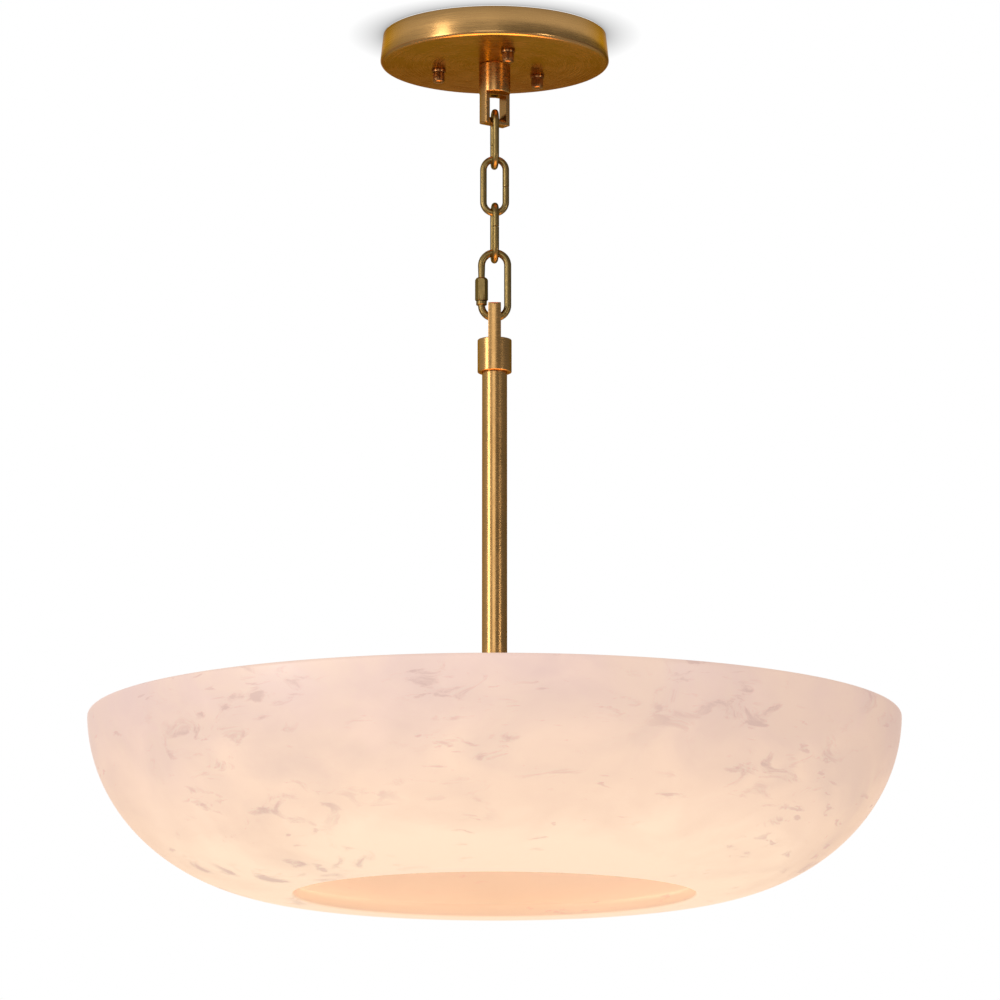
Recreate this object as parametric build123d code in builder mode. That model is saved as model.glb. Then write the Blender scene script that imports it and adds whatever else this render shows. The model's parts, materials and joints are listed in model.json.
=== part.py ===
from build123d import *
import math
import os

# Alabaster bowl pendant, millimetres. +Z is up, -Y is the front, and the origin is the
# middle of the ceiling fixing, on the ceiling plane. Everything hangs below z = 0.

# ---------------------------------------------------------------- driving dimensions
# Fits and clearances
running_clearance = 0.05      # radial, a shaft that turns or slides in its hole
screw_clearance = 0.25        # radial, a screw through a plain hole
glue_clearance = 0.05         # radial, an insert bonded into stone
seat_gap = 0.15               # axial, under a part that turns or slides off its seat
link_gap = 0.32               # between two wires that hang in each other

# Ceiling plate and canopy
plate_radius = 60.0
plate_thickness = 3.0
plate_wire_hole_radius = 14.0
box_slot_spacing = 79.4
box_slot_length = 14.6
box_slot_width = 5.2
slot_turn = 90.0              # slots run front to back
canopy_bottom_radius = 88.0
canopy_top_radius = 85.5
canopy_height = 23.0
canopy_wall = 2.5
canopy_edge_radius = 3.0
ground_screw_azimuth = 140.0
ground_screw_radius = 2.0
ground_screw_position = 30.0
ground_screw_head_radius = 4.0
ground_screw_head_height = 2.6

# Thumb nuts that hold the canopy to its three studs
knob_azimuths = {"canopy_knob_left": 163.0, "canopy_knob_right": 43.0, "canopy_knob_front": 283.0}
knob_circle_radius = 45.0
stud_radius = 2.5
stud_engagement = 8.0
stud_nut_across_flats = 8.0
stud_nut_height = 4.0
knob_collar_radius = 5.4
knob_collar_height = 2.4
knob_grip_radius = 4.6
knob_grip_height = 6.6
knob_dome_height = 1.4
knob_groove_count = 22
knob_groove_depth = 0.45

# Canopy loop, turned from round bar and slotted
loop_radius = 12.0
loop_band_length = 23.0
loop_tongue_length = 24.6
loop_tongue_thickness = 8.7
loop_window_width = 15.6
loop_bar_height = 5.4
loop_window_height = 17.8
loop_azimuth = 37.0
tongue_corner_radius = 1.8
bar_edge_radius = 3.6
tongue_end_radius = 0.6
band_edge_radius = 0.8
nipple_radius = 6.6
nipple_bore_radius = 4.5
nipple_engagement = 11.0
nipple_projection = 2.0
wire_hole_radius = 3.0
washer_radius = 15.0
washer_thickness = 2.0
loop_nut_across_flats = 19.0
loop_nut_height = 6.0

# Chain
chain_wire_radius = 2.55
chain_link_width = 22.2
chain_link_length = 47.3
chain_butt_gap = 0.35
chain_hang_gap = 1.95         # top bow above the rounded bar of the canopy loop
face_on_azimuth = 0.0
edge_on_azimuth = 96.0        # links seen edge-on stand a little turned
upper_seam_height = -3.0      # butt joint above the middle of its leg
middle_seam_height = -1.0
lower_seam_height = 3.0

# Screw link between the chain and the stem
quick_wire_radius = 2.75
quick_link_width = 25.4
quick_link_length = 56.5
quick_shoulder_radius = 4.1
quick_shoulder_height = 3.2
quick_stub_length = 1.5
quick_mouth = 6.8
sleeve_length = 18.0
sleeve_across_flats = 8.6
sleeve_chamfer = 0.7
sleeve_nose_length = 2.6      # the upper end is turned down to a rounded nose
sleeve_nose_radius = 3.5
sleeve_nose_bulge = 0.35

# Stem eye and stem
eye_radius = 13.0
eye_tongue_length = 26.9
eye_tongue_thickness = 9.75
eye_window_width = 15.0
eye_bar_height = 6.0
eye_window_height = 18.0
eye_band_length = 25.5
eye_hang_gap = 1.15           # rounded bridge above the bow of the screw link
stem_radius = 9.525
stem_wall = 1.5
stem_engagement = 10.0
stem_length = 307.0

# Bowl
bowl_radius = 304.8
bowl_height = 135.3
bowl_wall = 12.0
bowl_opening_radius = 150.0
rim_above_arms = 16.9         # rim above the top of the arms that carry the bowl
rim_edge_radius = 3.0
opening_edge_radius = 4.0

# Hub and arms inside the bowl
hub_radius = 32.0
hub_wall = 5.0
hub_height = 34.0
hub_top_thickness = 4.0
hub_cover_thickness = 3.0
hub_cover_spigot = 3.0
hub_cover_edge_radius = 1.5
stem_nut_across_flats = 27.0
stem_nut_height = 6.0
jam_nut_radius = 13.5
jam_nut_height = 7.0
stem_thread_projection = 2.0
arm_azimuths = {"bowl_arm_back": 90.0, "bowl_arm_left": 210.0, "bowl_arm_right": 330.0}
arm_width = 22.0
arm_thickness = 4.0
arm_inner_radius = 15.5
arm_bend_radius = 5.0
arm_inner_screw_position = 20.0
arm_outer_screw_position = 27.5
arm_screw_radius = 2.0
arm_screw_head_radius = 3.6
arm_screw_head_height = 2.4
wall_fixing_depth = 36.0      # middle of the wall fixing, below the rim
wall_tab_half_height = 13.0
wall_pad_radius = 9.0
wall_pad_thickness = 2.0
wall_spotface_depth = 0.6
wall_screw_radius = 2.5
wall_screw_head_radius = 4.75
wall_screw_head_height = 3.4
wall_insert_radius = 4.0
wall_insert_length = 8.0
cover_screw_radius = 1.5
cover_screw_head_radius = 2.8
cover_screw_head_height = 1.8
cover_screw_length = 9.0
cover_screw_azimuths = (90.0, 210.0, 330.0)

# Lamp holders and bulbs
lamp_azimuths = (30.0, 150.0, 270.0)
lamp_drop = 19.0              # lamp axis below the top of the hub
lamp_nipple_radius = 4.85
lamp_nipple_bore_radius = 3.2
lamp_nipple_nut_allowance = 2.0
husk_start_radius = 39.0
husk_radius = 19.0
husk_length = 44.0
husk_wall = 1.5
husk_base_thickness = 3.0
porcelain_clearance = 0.1
porcelain_length = 38.0
screw_shell_outer_radius = 13.9
screw_shell_wall = 0.35
screw_shell_length = 24.0
screw_shell_setback = 2.0
bulb_cap_length = 24.0
bulb_cap_contact_radius = 4.5
bulb_cap_contact_height = 2.0
bulb_radius = 30.0
bulb_length = 108.0
bulb_neck_radius = 12.6
bulb_glass_wall = 1.0

# ---------------------------------------------------------------- worked-out levels
canopy_bottom_z = -canopy_height
canopy_floor_z = canopy_bottom_z + canopy_wall
stud_bottom_z = canopy_bottom_z - seat_gap - stud_engagement
loop_bar_top_z = canopy_bottom_z - loop_band_length - loop_tongue_length + loop_bar_height

upper_link_top_z = loop_bar_top_z + chain_hang_gap + 2 * chain_wire_radius
chain_pitch = chain_link_length - 4 * chain_wire_radius - link_gap
upper_link_z = upper_link_top_z - chain_link_length / 2
middle_link_z = upper_link_z - chain_pitch
lower_link_z = middle_link_z - chain_pitch

lower_link_wire_z = lower_link_z - chain_link_length / 2 + chain_wire_radius
quick_top_wire_z = lower_link_wire_z + chain_wire_radius + quick_wire_radius + link_gap
quick_link_z = quick_top_wire_z + quick_wire_radius - quick_link_length / 2
quick_bottom_wire_z = quick_link_z - quick_link_length / 2 + quick_wire_radius
quick_leg_x = quick_link_width / 2 - quick_wire_radius
quick_straight = quick_link_length / 2 - quick_link_width / 2

eye_bar_underside_z = quick_bottom_wire_z + quick_wire_radius + eye_hang_gap
eye_top_z = eye_bar_underside_z + eye_bar_height
eye_bottom_z = eye_top_z - eye_tongue_length - eye_band_length
stem_top_z = eye_bottom_z + stem_engagement
stem_bottom_z = stem_top_z - stem_length

hub_top_z = stem_bottom_z + stem_thread_projection + stem_nut_height + hub_top_thickness
hub_bottom_z = hub_top_z - hub_height
lamp_z = hub_top_z - lamp_drop
arm_top_z = hub_top_z + arm_thickness
arm_screw_positions = (arm_inner_screw_position, arm_outer_screw_position)
bowl_rim_z = arm_top_z + rim_above_arms

bowl_profile_width = bowl_radius - bowl_opening_radius


def azimuth_vector(azimuth):
    """Horizontal unit vector at an azimuth in degrees, from +X towards +Y."""
    angle = math.radians(azimuth)
    return Vector(math.cos(angle), math.sin(angle), 0)


def radial_plane(azimuth, height=0.0):
    """Upright plane through the middle axis: x runs outwards, y runs up."""
    outwards = azimuth_vector(azimuth)
    sideways = outwards.cross(Vector(0, 0, 1))
    return Plane(origin=(0, 0, height), x_dir=outwards, z_dir=sideways)


def outward_plane(azimuth, height, radius):
    """Plane that faces outwards at an azimuth, a height and a radius."""
    outwards = azimuth_vector(azimuth)
    origin = outwards * radius + Vector(0, 0, height)
    return Plane(origin=origin, x_dir=outwards.cross(Vector(0, 0, 1)), z_dir=outwards)


def finish(part, name):
    """Label a piece with its node name and write it."""
    part.label = name
    export_step(part, "parts/" + name + ".step")


os.makedirs("parts", exist_ok=True)

# ---------------------------------------------------------------- ceiling plate
# A round steel plate that screws to the outlet box and carries three studs.
with BuildPart() as mounting_plate:
    with BuildSketch(Plane.XY.offset(-plate_thickness)):
        Circle(plate_radius)
        Circle(plate_wire_hole_radius, mode=Mode.SUBTRACT)
        with Locations((0, box_slot_spacing / 2), (0, -box_slot_spacing / 2)):
            SlotOverall(box_slot_length, box_slot_width, rotation=slot_turn, mode=Mode.SUBTRACT)
        for azimuth in knob_azimuths.values():
            with PolarLocations(knob_circle_radius, 1, start_angle=azimuth):
                Circle(stud_radius, mode=Mode.SUBTRACT)
        with PolarLocations(ground_screw_position, 1, start_angle=ground_screw_azimuth):
            Circle(ground_screw_radius, mode=Mode.SUBTRACT)
    extrude(amount=plate_thickness)
finish(mounting_plate.part, "mounting_plate")

with BuildPart() as mounting_studs:
    with BuildSketch(Plane.XY.offset(stud_bottom_z)):
        for azimuth in knob_azimuths.values():
            with PolarLocations(knob_circle_radius, 1, start_angle=azimuth):
                Circle(stud_radius)
    extrude(amount=-stud_bottom_z)
finish(mounting_studs.part, "mounting_studs")

with BuildPart() as stud_locknuts:
    with BuildSketch(Plane.XY.offset(-plate_thickness)):
        for azimuth in knob_azimuths.values():
            with PolarLocations(knob_circle_radius, 1, start_angle=azimuth):
                RegularPolygon(stud_nut_across_flats / 2, 6, major_radius=False)
                Circle(stud_radius, mode=Mode.SUBTRACT)
    extrude(amount=-stud_nut_height)
finish(stud_locknuts.part, "stud_locknuts")

with BuildPart() as ground_screw:
    with BuildSketch(Plane.XY.offset(-plate_thickness)):
        with PolarLocations(ground_screw_position, 1, start_angle=ground_screw_azimuth):
            Circle(ground_screw_head_radius)
    extrude(amount=-ground_screw_head_height)
    ground_head_rim = ground_screw.edges().group_by(Axis.Z)[0]
    fillet(ground_head_rim, ground_screw_head_height / 3)
    with BuildSketch(Plane.XY.offset(-plate_thickness - ground_screw_head_height)):
        with PolarLocations(ground_screw_position, 1, start_angle=ground_screw_azimuth):
            Rectangle(2 * ground_screw_head_radius, ground_screw_head_radius / 4)
    extrude(amount=ground_screw_head_height / 3, mode=Mode.SUBTRACT)
    with BuildSketch(Plane.XY.offset(-plate_thickness)):
        with PolarLocations(ground_screw_position, 1, start_angle=ground_screw_azimuth):
            Circle(ground_screw_radius)
    extrude(amount=plate_thickness)
finish(ground_screw.part, "ground_screw")

# ---------------------------------------------------------------- canopy
# A shallow round pan with a slightly flared side, open towards the ceiling.
with BuildPart() as canopy:
    with BuildSketch(Plane.XZ):
        with BuildLine():
            Polyline(
                (0, canopy_bottom_z),
                (canopy_bottom_radius, canopy_bottom_z),
                (canopy_top_radius, 0),
                (canopy_top_radius - canopy_wall, 0),
                (canopy_bottom_radius - canopy_wall, canopy_floor_z),
                (0, canopy_floor_z),
                close=True,
            )
        make_face()
    revolve(axis=Axis.Z)
    canopy_lower_rim = canopy.edges().group_by(Axis.Z)[0]
    fillet(canopy_lower_rim, canopy_edge_radius)
    with BuildSketch(Plane.XY.offset(canopy_bottom_z)):
        Circle(nipple_radius + screw_clearance)
        for azimuth in knob_azimuths.values():
            with PolarLocations(knob_circle_radius, 1, start_angle=azimuth):
                Circle(stud_radius + screw_clearance)
    extrude(amount=canopy_wall, mode=Mode.SUBTRACT)
finish(canopy.part, "canopy")


def make_knob(azimuth):
    """Thumb nut: plain collar, fluted grip and domed end, with a blind thread hole."""
    centre = azimuth_vector(azimuth) * knob_circle_radius
    seat_z = canopy_bottom_z - seat_gap
    grip_top_z = seat_z - knob_collar_height
    grip_bottom_z = grip_top_z - knob_grip_height
    knob_end_z = grip_bottom_z - knob_dome_height
    profile_plane = Plane(origin=centre, x_dir=(1, 0, 0), z_dir=(0, -1, 0))
    with BuildPart() as knob:
        with BuildSketch(profile_plane):
            with BuildLine():
                Polyline(
                    (0, knob_end_z),
                    (0, seat_z),
                    (knob_collar_radius, seat_z),
                    (knob_collar_radius, grip_top_z),
                    (knob_grip_radius, grip_top_z),
                    (knob_grip_radius, grip_bottom_z),
                )
                ThreePointArc(
                    (knob_grip_radius, grip_bottom_z),
                    (knob_grip_radius * 0.72, grip_bottom_z - knob_dome_height * 0.72),
                    (0, knob_end_z),
                )
            make_face()
        revolve(axis=Axis(centre, (0, 0, 1)))
        with BuildSketch(Plane.XY.offset(grip_bottom_z)):
            with Locations(centre):
                with PolarLocations(knob_grip_radius, knob_groove_count):
                    RegularPolygon(knob_groove_depth, 4)
        extrude(amount=knob_grip_height, mode=Mode.SUBTRACT)
        with BuildSketch(Plane.XY.offset(seat_z)):
            with Locations(centre):
                Circle(stud_radius + running_clearance)
        extrude(amount=-stud_engagement - seat_gap, mode=Mode.SUBTRACT)
    return knob.part


for name, azimuth in knob_azimuths.items():
    finish(make_knob(azimuth), name)


# ---------------------------------------------------------------- slotted eyes
def make_slotted_eye(base, radius, band, tongue, thickness, window, bar, socket, bore_radius):
    """Round-bar fitting whose far end is milled to a flat tongue with a window.

    base is the plane of the plain end: its z runs along the bar, its x across the tongue.
    window is (width, height), bar the metal left past the window, and socket is
    (radius, depth) of the hole in the plain end. The bore joins socket and window.
    """
    end = band + tongue
    window_width, window_height = window
    across = Plane(origin=base.origin, x_dir=base.x_dir, z_dir=base.y_dir * -1)
    with BuildPart() as milled:
        with BuildSketch(base.offset(band / 2)):
            Circle(radius)
        extrude(amount=tongue + band / 2)
        with BuildSketch(across) as tongue_face:
            with Locations((0, end / 2)):
                Rectangle(2 * radius, end)
            fillet(tongue_face.vertices().group_by(Axis.Y)[-1], tongue_corner_radius)
            with Locations((0, end - bar - window_height / 2)):
                Rectangle(window_width, window_height, mode=Mode.SUBTRACT)
        extrude(amount=thickness / 2, both=True, mode=Mode.INTERSECT)
        bar_level = base.origin + base.z_dir * (end - bar)
        bar_edges = [
            edge
            for edge in milled.edges().filter_by(Axis((0, 0, 0), base.x_dir))
            if abs((edge.center() - bar_level).dot(base.z_dir)) < running_clearance
        ]
        fillet(bar_edges, bar_edge_radius)
        end_edges = milled.edges().filter_by(Axis((0, 0, 0), base.x_dir))
        end_edges = end_edges.sort_by(Axis(base.origin, base.z_dir))[-2:]
        fillet(end_edges, tongue_end_radius)
    with BuildPart() as eye:
        with BuildSketch(base):
            Circle(radius)
        extrude(amount=band)
        fillet(eye.edges().filter_by(GeomType.CIRCLE), band_edge_radius)
        add(milled)
        with BuildSketch(base):
            Circle(bore_radius)
        extrude(amount=end - bar - window_height / 2, mode=Mode.SUBTRACT)
        with BuildSketch(base):
            Circle(socket[0])
        extrude(amount=socket[1], mode=Mode.SUBTRACT)
    return eye.part


loop_base = Plane(origin=(0, 0, canopy_bottom_z), x_dir=azimuth_vector(loop_azimuth), z_dir=(0, 0, -1))
canopy_loop = make_slotted_eye(
    loop_base,
    loop_radius,
    loop_band_length,
    loop_tongue_length,
    loop_tongue_thickness,
    (loop_window_width, loop_window_height),
    loop_bar_height,
    (nipple_radius + running_clearance, nipple_engagement),
    wire_hole_radius,
)
finish(canopy_loop, "canopy_loop")

# The loop hangs from a hollow threaded nipple, a washer and a hexagon nut in the canopy.
loop_nut_bottom_z = canopy_floor_z + washer_thickness
nipple_top_z = loop_nut_bottom_z + loop_nut_height + nipple_projection
with BuildPart() as loop_nipple:
    with BuildSketch(Plane.XY.offset(canopy_bottom_z - nipple_engagement)):
        Circle(nipple_radius)
        Circle(nipple_bore_radius, mode=Mode.SUBTRACT)
    extrude(amount=nipple_top_z - canopy_bottom_z + nipple_engagement)
finish(loop_nipple.part, "loop_nipple")

with BuildPart() as loop_washer:
    with BuildSketch(Plane.XY.offset(canopy_floor_z)):
        Circle(washer_radius)
        Circle(nipple_radius + running_clearance, mode=Mode.SUBTRACT)
    extrude(amount=washer_thickness)
finish(loop_washer.part, "loop_washer")

with BuildPart() as loop_nut:
    with BuildSketch(Plane.XY.offset(loop_nut_bottom_z)):
        RegularPolygon(loop_nut_across_flats / 2, 6, major_radius=False)
        Circle(nipple_radius + running_clearance, mode=Mode.SUBTRACT)
    extrude(amount=loop_nut_height)
finish(loop_nut.part, "loop_nut")


# ---------------------------------------------------------------- chain
def make_round_wire_link(plane, width, length, wire_radius, mouth_side, mouth_middle, mouth):
    """Long link bent from round wire, its two ends facing each other in one leg.

    The plane's x runs across the link and its y along it. mouth_side is -1 or 1 for the
    leg with the mouth, and mouth_middle is how far up that leg it lies.
    """
    leg = (width / 2 - wire_radius) * mouth_side
    straight = length / 2 - width / 2
    with BuildPart() as link:
        with BuildLine(plane) as centre_line:
            first = Line((leg, mouth_middle + mouth / 2), (leg, straight))
            upper_bow = ThreePointArc(first @ 1, (0, straight + abs(leg)), (-leg, straight))
            far_leg = Line(upper_bow @ 1, (-leg, -straight))
            lower_bow = ThreePointArc(far_leg @ 1, (0, -straight - abs(leg)), (leg, -straight))
            Line(lower_bow @ 1, (leg, mouth_middle - mouth / 2))
        wire_start = Plane(origin=centre_line.line @ 0, z_dir=centre_line.line % 0)
        with BuildSketch(wire_start):
            Circle(wire_radius)
        sweep()
    return link.part


left_leg = -1
right_leg = 1
chain_places = {
    "chain_link_upper": (edge_on_azimuth, upper_link_z, right_leg, upper_seam_height),
    "chain_link_middle": (face_on_azimuth, middle_link_z, right_leg, middle_seam_height),
    "chain_link_lower": (edge_on_azimuth, lower_link_z, left_leg, lower_seam_height),
}
for name, (azimuth, height, seam_leg, seam_height) in chain_places.items():
    chain_link = make_round_wire_link(
        radial_plane(azimuth, height),
        chain_link_width,
        chain_link_length,
        chain_wire_radius,
        seam_leg,
        seam_height,
        chain_butt_gap,
    )
    finish(chain_link, name)

# ---------------------------------------------------------------- screw link
# The mouth is in the left leg, between a short stub on a shoulder and the threaded end.
shoulder_bottom_z = quick_link_z - quick_straight
shoulder_top_z = shoulder_bottom_z + quick_shoulder_height
mouth_bottom_z = shoulder_top_z + quick_stub_length
quick_bent_wire = make_round_wire_link(
    radial_plane(face_on_azimuth, quick_link_z),
    quick_link_width,
    quick_link_length,
    quick_wire_radius,
    left_leg,
    mouth_bottom_z + quick_mouth / 2 - quick_link_z,
    quick_mouth,
)
with BuildPart() as quick_link_body:
    add(quick_bent_wire)
    with BuildSketch(Plane.XY.offset(shoulder_bottom_z)):
        with Locations((-quick_leg_x, 0)):
            Circle(quick_shoulder_radius)
    extrude(amount=quick_shoulder_height)
finish(quick_link_body.part, "quick_link_body")

sleeve_bottom_z = shoulder_top_z + seat_gap
sleeve_corner_radius = sleeve_across_flats / 2 / math.cos(math.radians(30))
sleeve_axis = Axis((-quick_leg_x, 0, sleeve_bottom_z), (0, 0, 1))
sleeve_side = Plane(origin=sleeve_axis.position, x_dir=(1, 0, 0), z_dir=(0, -1, 0))
with BuildPart() as quick_link_sleeve:
    with BuildSketch(Plane.XY.offset(sleeve_bottom_z)):
        with Locations((-quick_leg_x, 0)):
            RegularPolygon(sleeve_across_flats / 2, 6, major_radius=False)
    extrude(amount=sleeve_length)
    with BuildSketch(sleeve_side):
        with BuildLine():
            nose_start = (sleeve_corner_radius, sleeve_length - sleeve_nose_length)
            nose_end = (sleeve_nose_radius, sleeve_length)
            nose_middle = (
                (nose_start[0] + nose_end[0]) / 2 + sleeve_nose_bulge,
                (nose_start[1] + nose_end[1]) / 2 + sleeve_nose_bulge,
            )
            ThreePointArc(nose_start, nose_middle, nose_end)
            Polyline(
                nose_end,
                (0, sleeve_length),
                (0, 0),
                (sleeve_corner_radius - sleeve_chamfer, 0),
                (sleeve_corner_radius, sleeve_chamfer),
                nose_start,
            )
        make_face()
    revolve(axis=sleeve_axis, mode=Mode.INTERSECT)
    with BuildSketch(Plane.XY.offset(sleeve_bottom_z)):
        with Locations((-quick_leg_x, 0)):
            Circle(quick_wire_radius + running_clearance)
    extrude(amount=sleeve_length, mode=Mode.SUBTRACT)
finish(quick_link_sleeve.part, "quick_link_sleeve")

# ---------------------------------------------------------------- stem
eye_base = Plane(origin=(0, 0, eye_bottom_z), x_dir=(0, 1, 0), z_dir=(0, 0, 1))
stem_eye = make_slotted_eye(
    eye_base,
    eye_radius,
    eye_band_length,
    eye_tongue_length,
    eye_tongue_thickness,
    (eye_window_width, eye_window_height),
    eye_bar_height,
    (stem_radius + running_clearance, stem_engagement),
    wire_hole_radius,
)
finish(stem_eye, "stem_eye")

with BuildPart() as stem_tube:
    with BuildSketch(Plane.XY.offset(stem_bottom_z)):
        Circle(stem_radius)
        Circle(stem_radius - stem_wall, mode=Mode.SUBTRACT)
    extrude(amount=stem_length)
finish(stem_tube.part, "stem_tube")

with BuildPart() as stem_jam_nut:
    with BuildSketch(Plane.XY.offset(hub_top_z)):
        Circle(jam_nut_radius)
        Circle(stem_radius + running_clearance, mode=Mode.SUBTRACT)
    extrude(amount=jam_nut_height)
    chamfer(stem_jam_nut.edges().group_by(Axis.Z)[-1].sort_by(SortBy.RADIUS)[-1], jam_nut_height / 6)
finish(stem_jam_nut.part, "stem_jam_nut")

with BuildPart() as stem_lock_nut:
    with BuildSketch(Plane.XY.offset(hub_top_z - hub_top_thickness)):
        RegularPolygon(stem_nut_across_flats / 2, 6, major_radius=False)
        Circle(stem_radius + running_clearance, mode=Mode.SUBTRACT)
    extrude(amount=-stem_nut_height)
finish(stem_lock_nut.part, "stem_lock_nut")

# ---------------------------------------------------------------- bowl
# Each side of the wall is a quarter ellipse that ends level at the opening below.
wall_inner_width = bowl_profile_width - bowl_wall
wall_inner_height = bowl_height - bowl_wall
fixing_share = wall_fixing_depth / wall_inner_height
fixing_reach = wall_inner_width * math.sqrt(1 - fixing_share**2)
fixing_tilt = math.atan2(wall_fixing_depth / wall_inner_height**2, fixing_reach / wall_inner_width**2)
fixing_radius = bowl_opening_radius + fixing_reach
fixing_z = bowl_rim_z - wall_fixing_depth


def wall_plane(azimuth):
    """Plane on the bowl's inner wall at a fixing, its z square to the wall and outwards."""
    outwards = azimuth_vector(azimuth)
    origin = outwards * fixing_radius + Vector(0, 0, fixing_z)
    normal = outwards * math.cos(fixing_tilt) - Vector(0, 0, 1) * math.sin(fixing_tilt)
    return Plane(origin=origin, x_dir=outwards.cross(Vector(0, 0, 1)), z_dir=normal)


with BuildPart() as bowl:
    with BuildSketch(Plane.XZ) as bowl_section:
        with BuildLine():
            outer_wall = EllipticalCenterArc(
                (bowl_opening_radius, bowl_rim_z), bowl_profile_width, bowl_height, arc_size=-90
            )
            inner_wall = EllipticalCenterArc(
                (bowl_opening_radius, bowl_rim_z), wall_inner_width, wall_inner_height, arc_size=-90
            )
            Line(outer_wall @ 0, inner_wall @ 0)
            Line(outer_wall @ 1, inner_wall @ 1)
        make_face()
        fillet(bowl_section.vertices().group_by(Axis.Y)[-1], rim_edge_radius)
        fillet(bowl_section.vertices().group_by(Axis.X)[0], opening_edge_radius)
    revolve(axis=Axis.Z)
    for azimuth in arm_azimuths.values():
        with BuildSketch(wall_plane(azimuth).offset(wall_spotface_depth)):
            Circle(wall_pad_radius + running_clearance)
        extrude(amount=-wall_pad_thickness, mode=Mode.SUBTRACT)
        with BuildSketch(wall_plane(azimuth).offset(wall_spotface_depth)):
            Circle(wall_insert_radius)
        extrude(amount=wall_insert_length + screw_clearance, mode=Mode.SUBTRACT)
finish(bowl.part, "bowl")

with BuildPart() as wall_inserts:
    for azimuth in arm_azimuths.values():
        with BuildSketch(wall_plane(azimuth).offset(wall_spotface_depth)):
            Circle(wall_insert_radius - glue_clearance)
            Circle(wall_screw_radius + running_clearance, mode=Mode.SUBTRACT)
        extrude(amount=wall_insert_length)
finish(wall_inserts.part, "wall_inserts")

with BuildPart() as wall_pads:
    for azimuth in arm_azimuths.values():
        with BuildSketch(wall_plane(azimuth).offset(wall_spotface_depth)):
            Circle(wall_pad_radius)
            Circle(wall_screw_radius + screw_clearance, mode=Mode.SUBTRACT)
        extrude(amount=-wall_pad_thickness)
finish(wall_pads.part, "wall_pads")

tab_face_offset = wall_spotface_depth - wall_pad_thickness
with BuildPart() as wall_screws:
    for azimuth in arm_azimuths.values():
        head_plane = wall_plane(azimuth).offset(tab_face_offset - arm_thickness)
        with BuildSketch(head_plane):
            Circle(wall_screw_head_radius)
        extrude(amount=-wall_screw_head_height, taper=12)
        with BuildSketch(head_plane):
            Circle(wall_screw_radius)
        extrude(amount=arm_thickness + wall_pad_thickness + wall_insert_length - seat_gap)
finish(wall_screws.part, "wall_screws")

# ---------------------------------------------------------------- arms
tab_face = Vector(
    fixing_radius + tab_face_offset * math.cos(fixing_tilt),
    fixing_z - tab_face_offset * math.sin(fixing_tilt),
)
tab_down = Vector(-math.sin(fixing_tilt), -math.cos(fixing_tilt))
tab_back = tab_face - Vector(math.cos(fixing_tilt), -math.sin(fixing_tilt)) * arm_thickness


def tab_point(start, height):
    """Point of a slanted tab face at a height, in the arm's upright plane."""
    return start + tab_down * ((start.Y - height) / math.cos(fixing_tilt))


def make_arm(azimuth):
    """Flat bar from the hub to the bowl's wall, bent down into a slanted tab."""
    with BuildPart() as arm:
        with BuildSketch(radial_plane(azimuth)) as arm_side:
            outer_bend = tab_point(tab_face, arm_top_z)
            inner_bend = tab_point(tab_back, hub_top_z)
            with BuildLine():
                Polyline(
                    (arm_inner_radius, hub_top_z),
                    (arm_inner_radius, arm_top_z),
                    outer_bend,
                    tab_face + tab_down * wall_tab_half_height,
                    tab_back + tab_down * wall_tab_half_height,
                    inner_bend,
                    close=True,
                )
            make_face()
            bends = arm_side.vertices()
            fillet(bends.sort_by_distance(outer_bend)[0], arm_bend_radius + arm_thickness)
            bends = arm_side.vertices()
            fillet(bends.sort_by_distance(inner_bend)[0], arm_bend_radius)
        extrude(amount=arm_width / 2, both=True)
        with BuildSketch(wall_plane(azimuth).offset(tab_face_offset)):
            Circle(wall_screw_radius + screw_clearance)
        extrude(amount=-arm_thickness, mode=Mode.SUBTRACT)
        with BuildSketch(Plane.XY.offset(hub_top_z)):
            for screw_position in arm_screw_positions:
                with PolarLocations(screw_position, 1, start_angle=azimuth):
                    Circle(arm_screw_radius + screw_clearance)
        extrude(amount=arm_thickness, mode=Mode.SUBTRACT)
    return arm.part


for name, azimuth in arm_azimuths.items():
    finish(make_arm(azimuth), name)

with BuildPart() as arm_screws:
    for azimuth in arm_azimuths.values():
        for screw_position in arm_screw_positions:
            with BuildSketch(Plane.XY.offset(arm_top_z)):
                with PolarLocations(screw_position, 1, start_angle=azimuth):
                    Circle(arm_screw_head_radius)
            extrude(amount=arm_screw_head_height, taper=10)
            with BuildSketch(Plane.XY.offset(arm_top_z)):
                with PolarLocations(screw_position, 1, start_angle=azimuth):
                    Circle(arm_screw_radius)
            extrude(amount=-arm_thickness - hub_top_thickness)
finish(arm_screws.part, "arm_screws")

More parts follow.
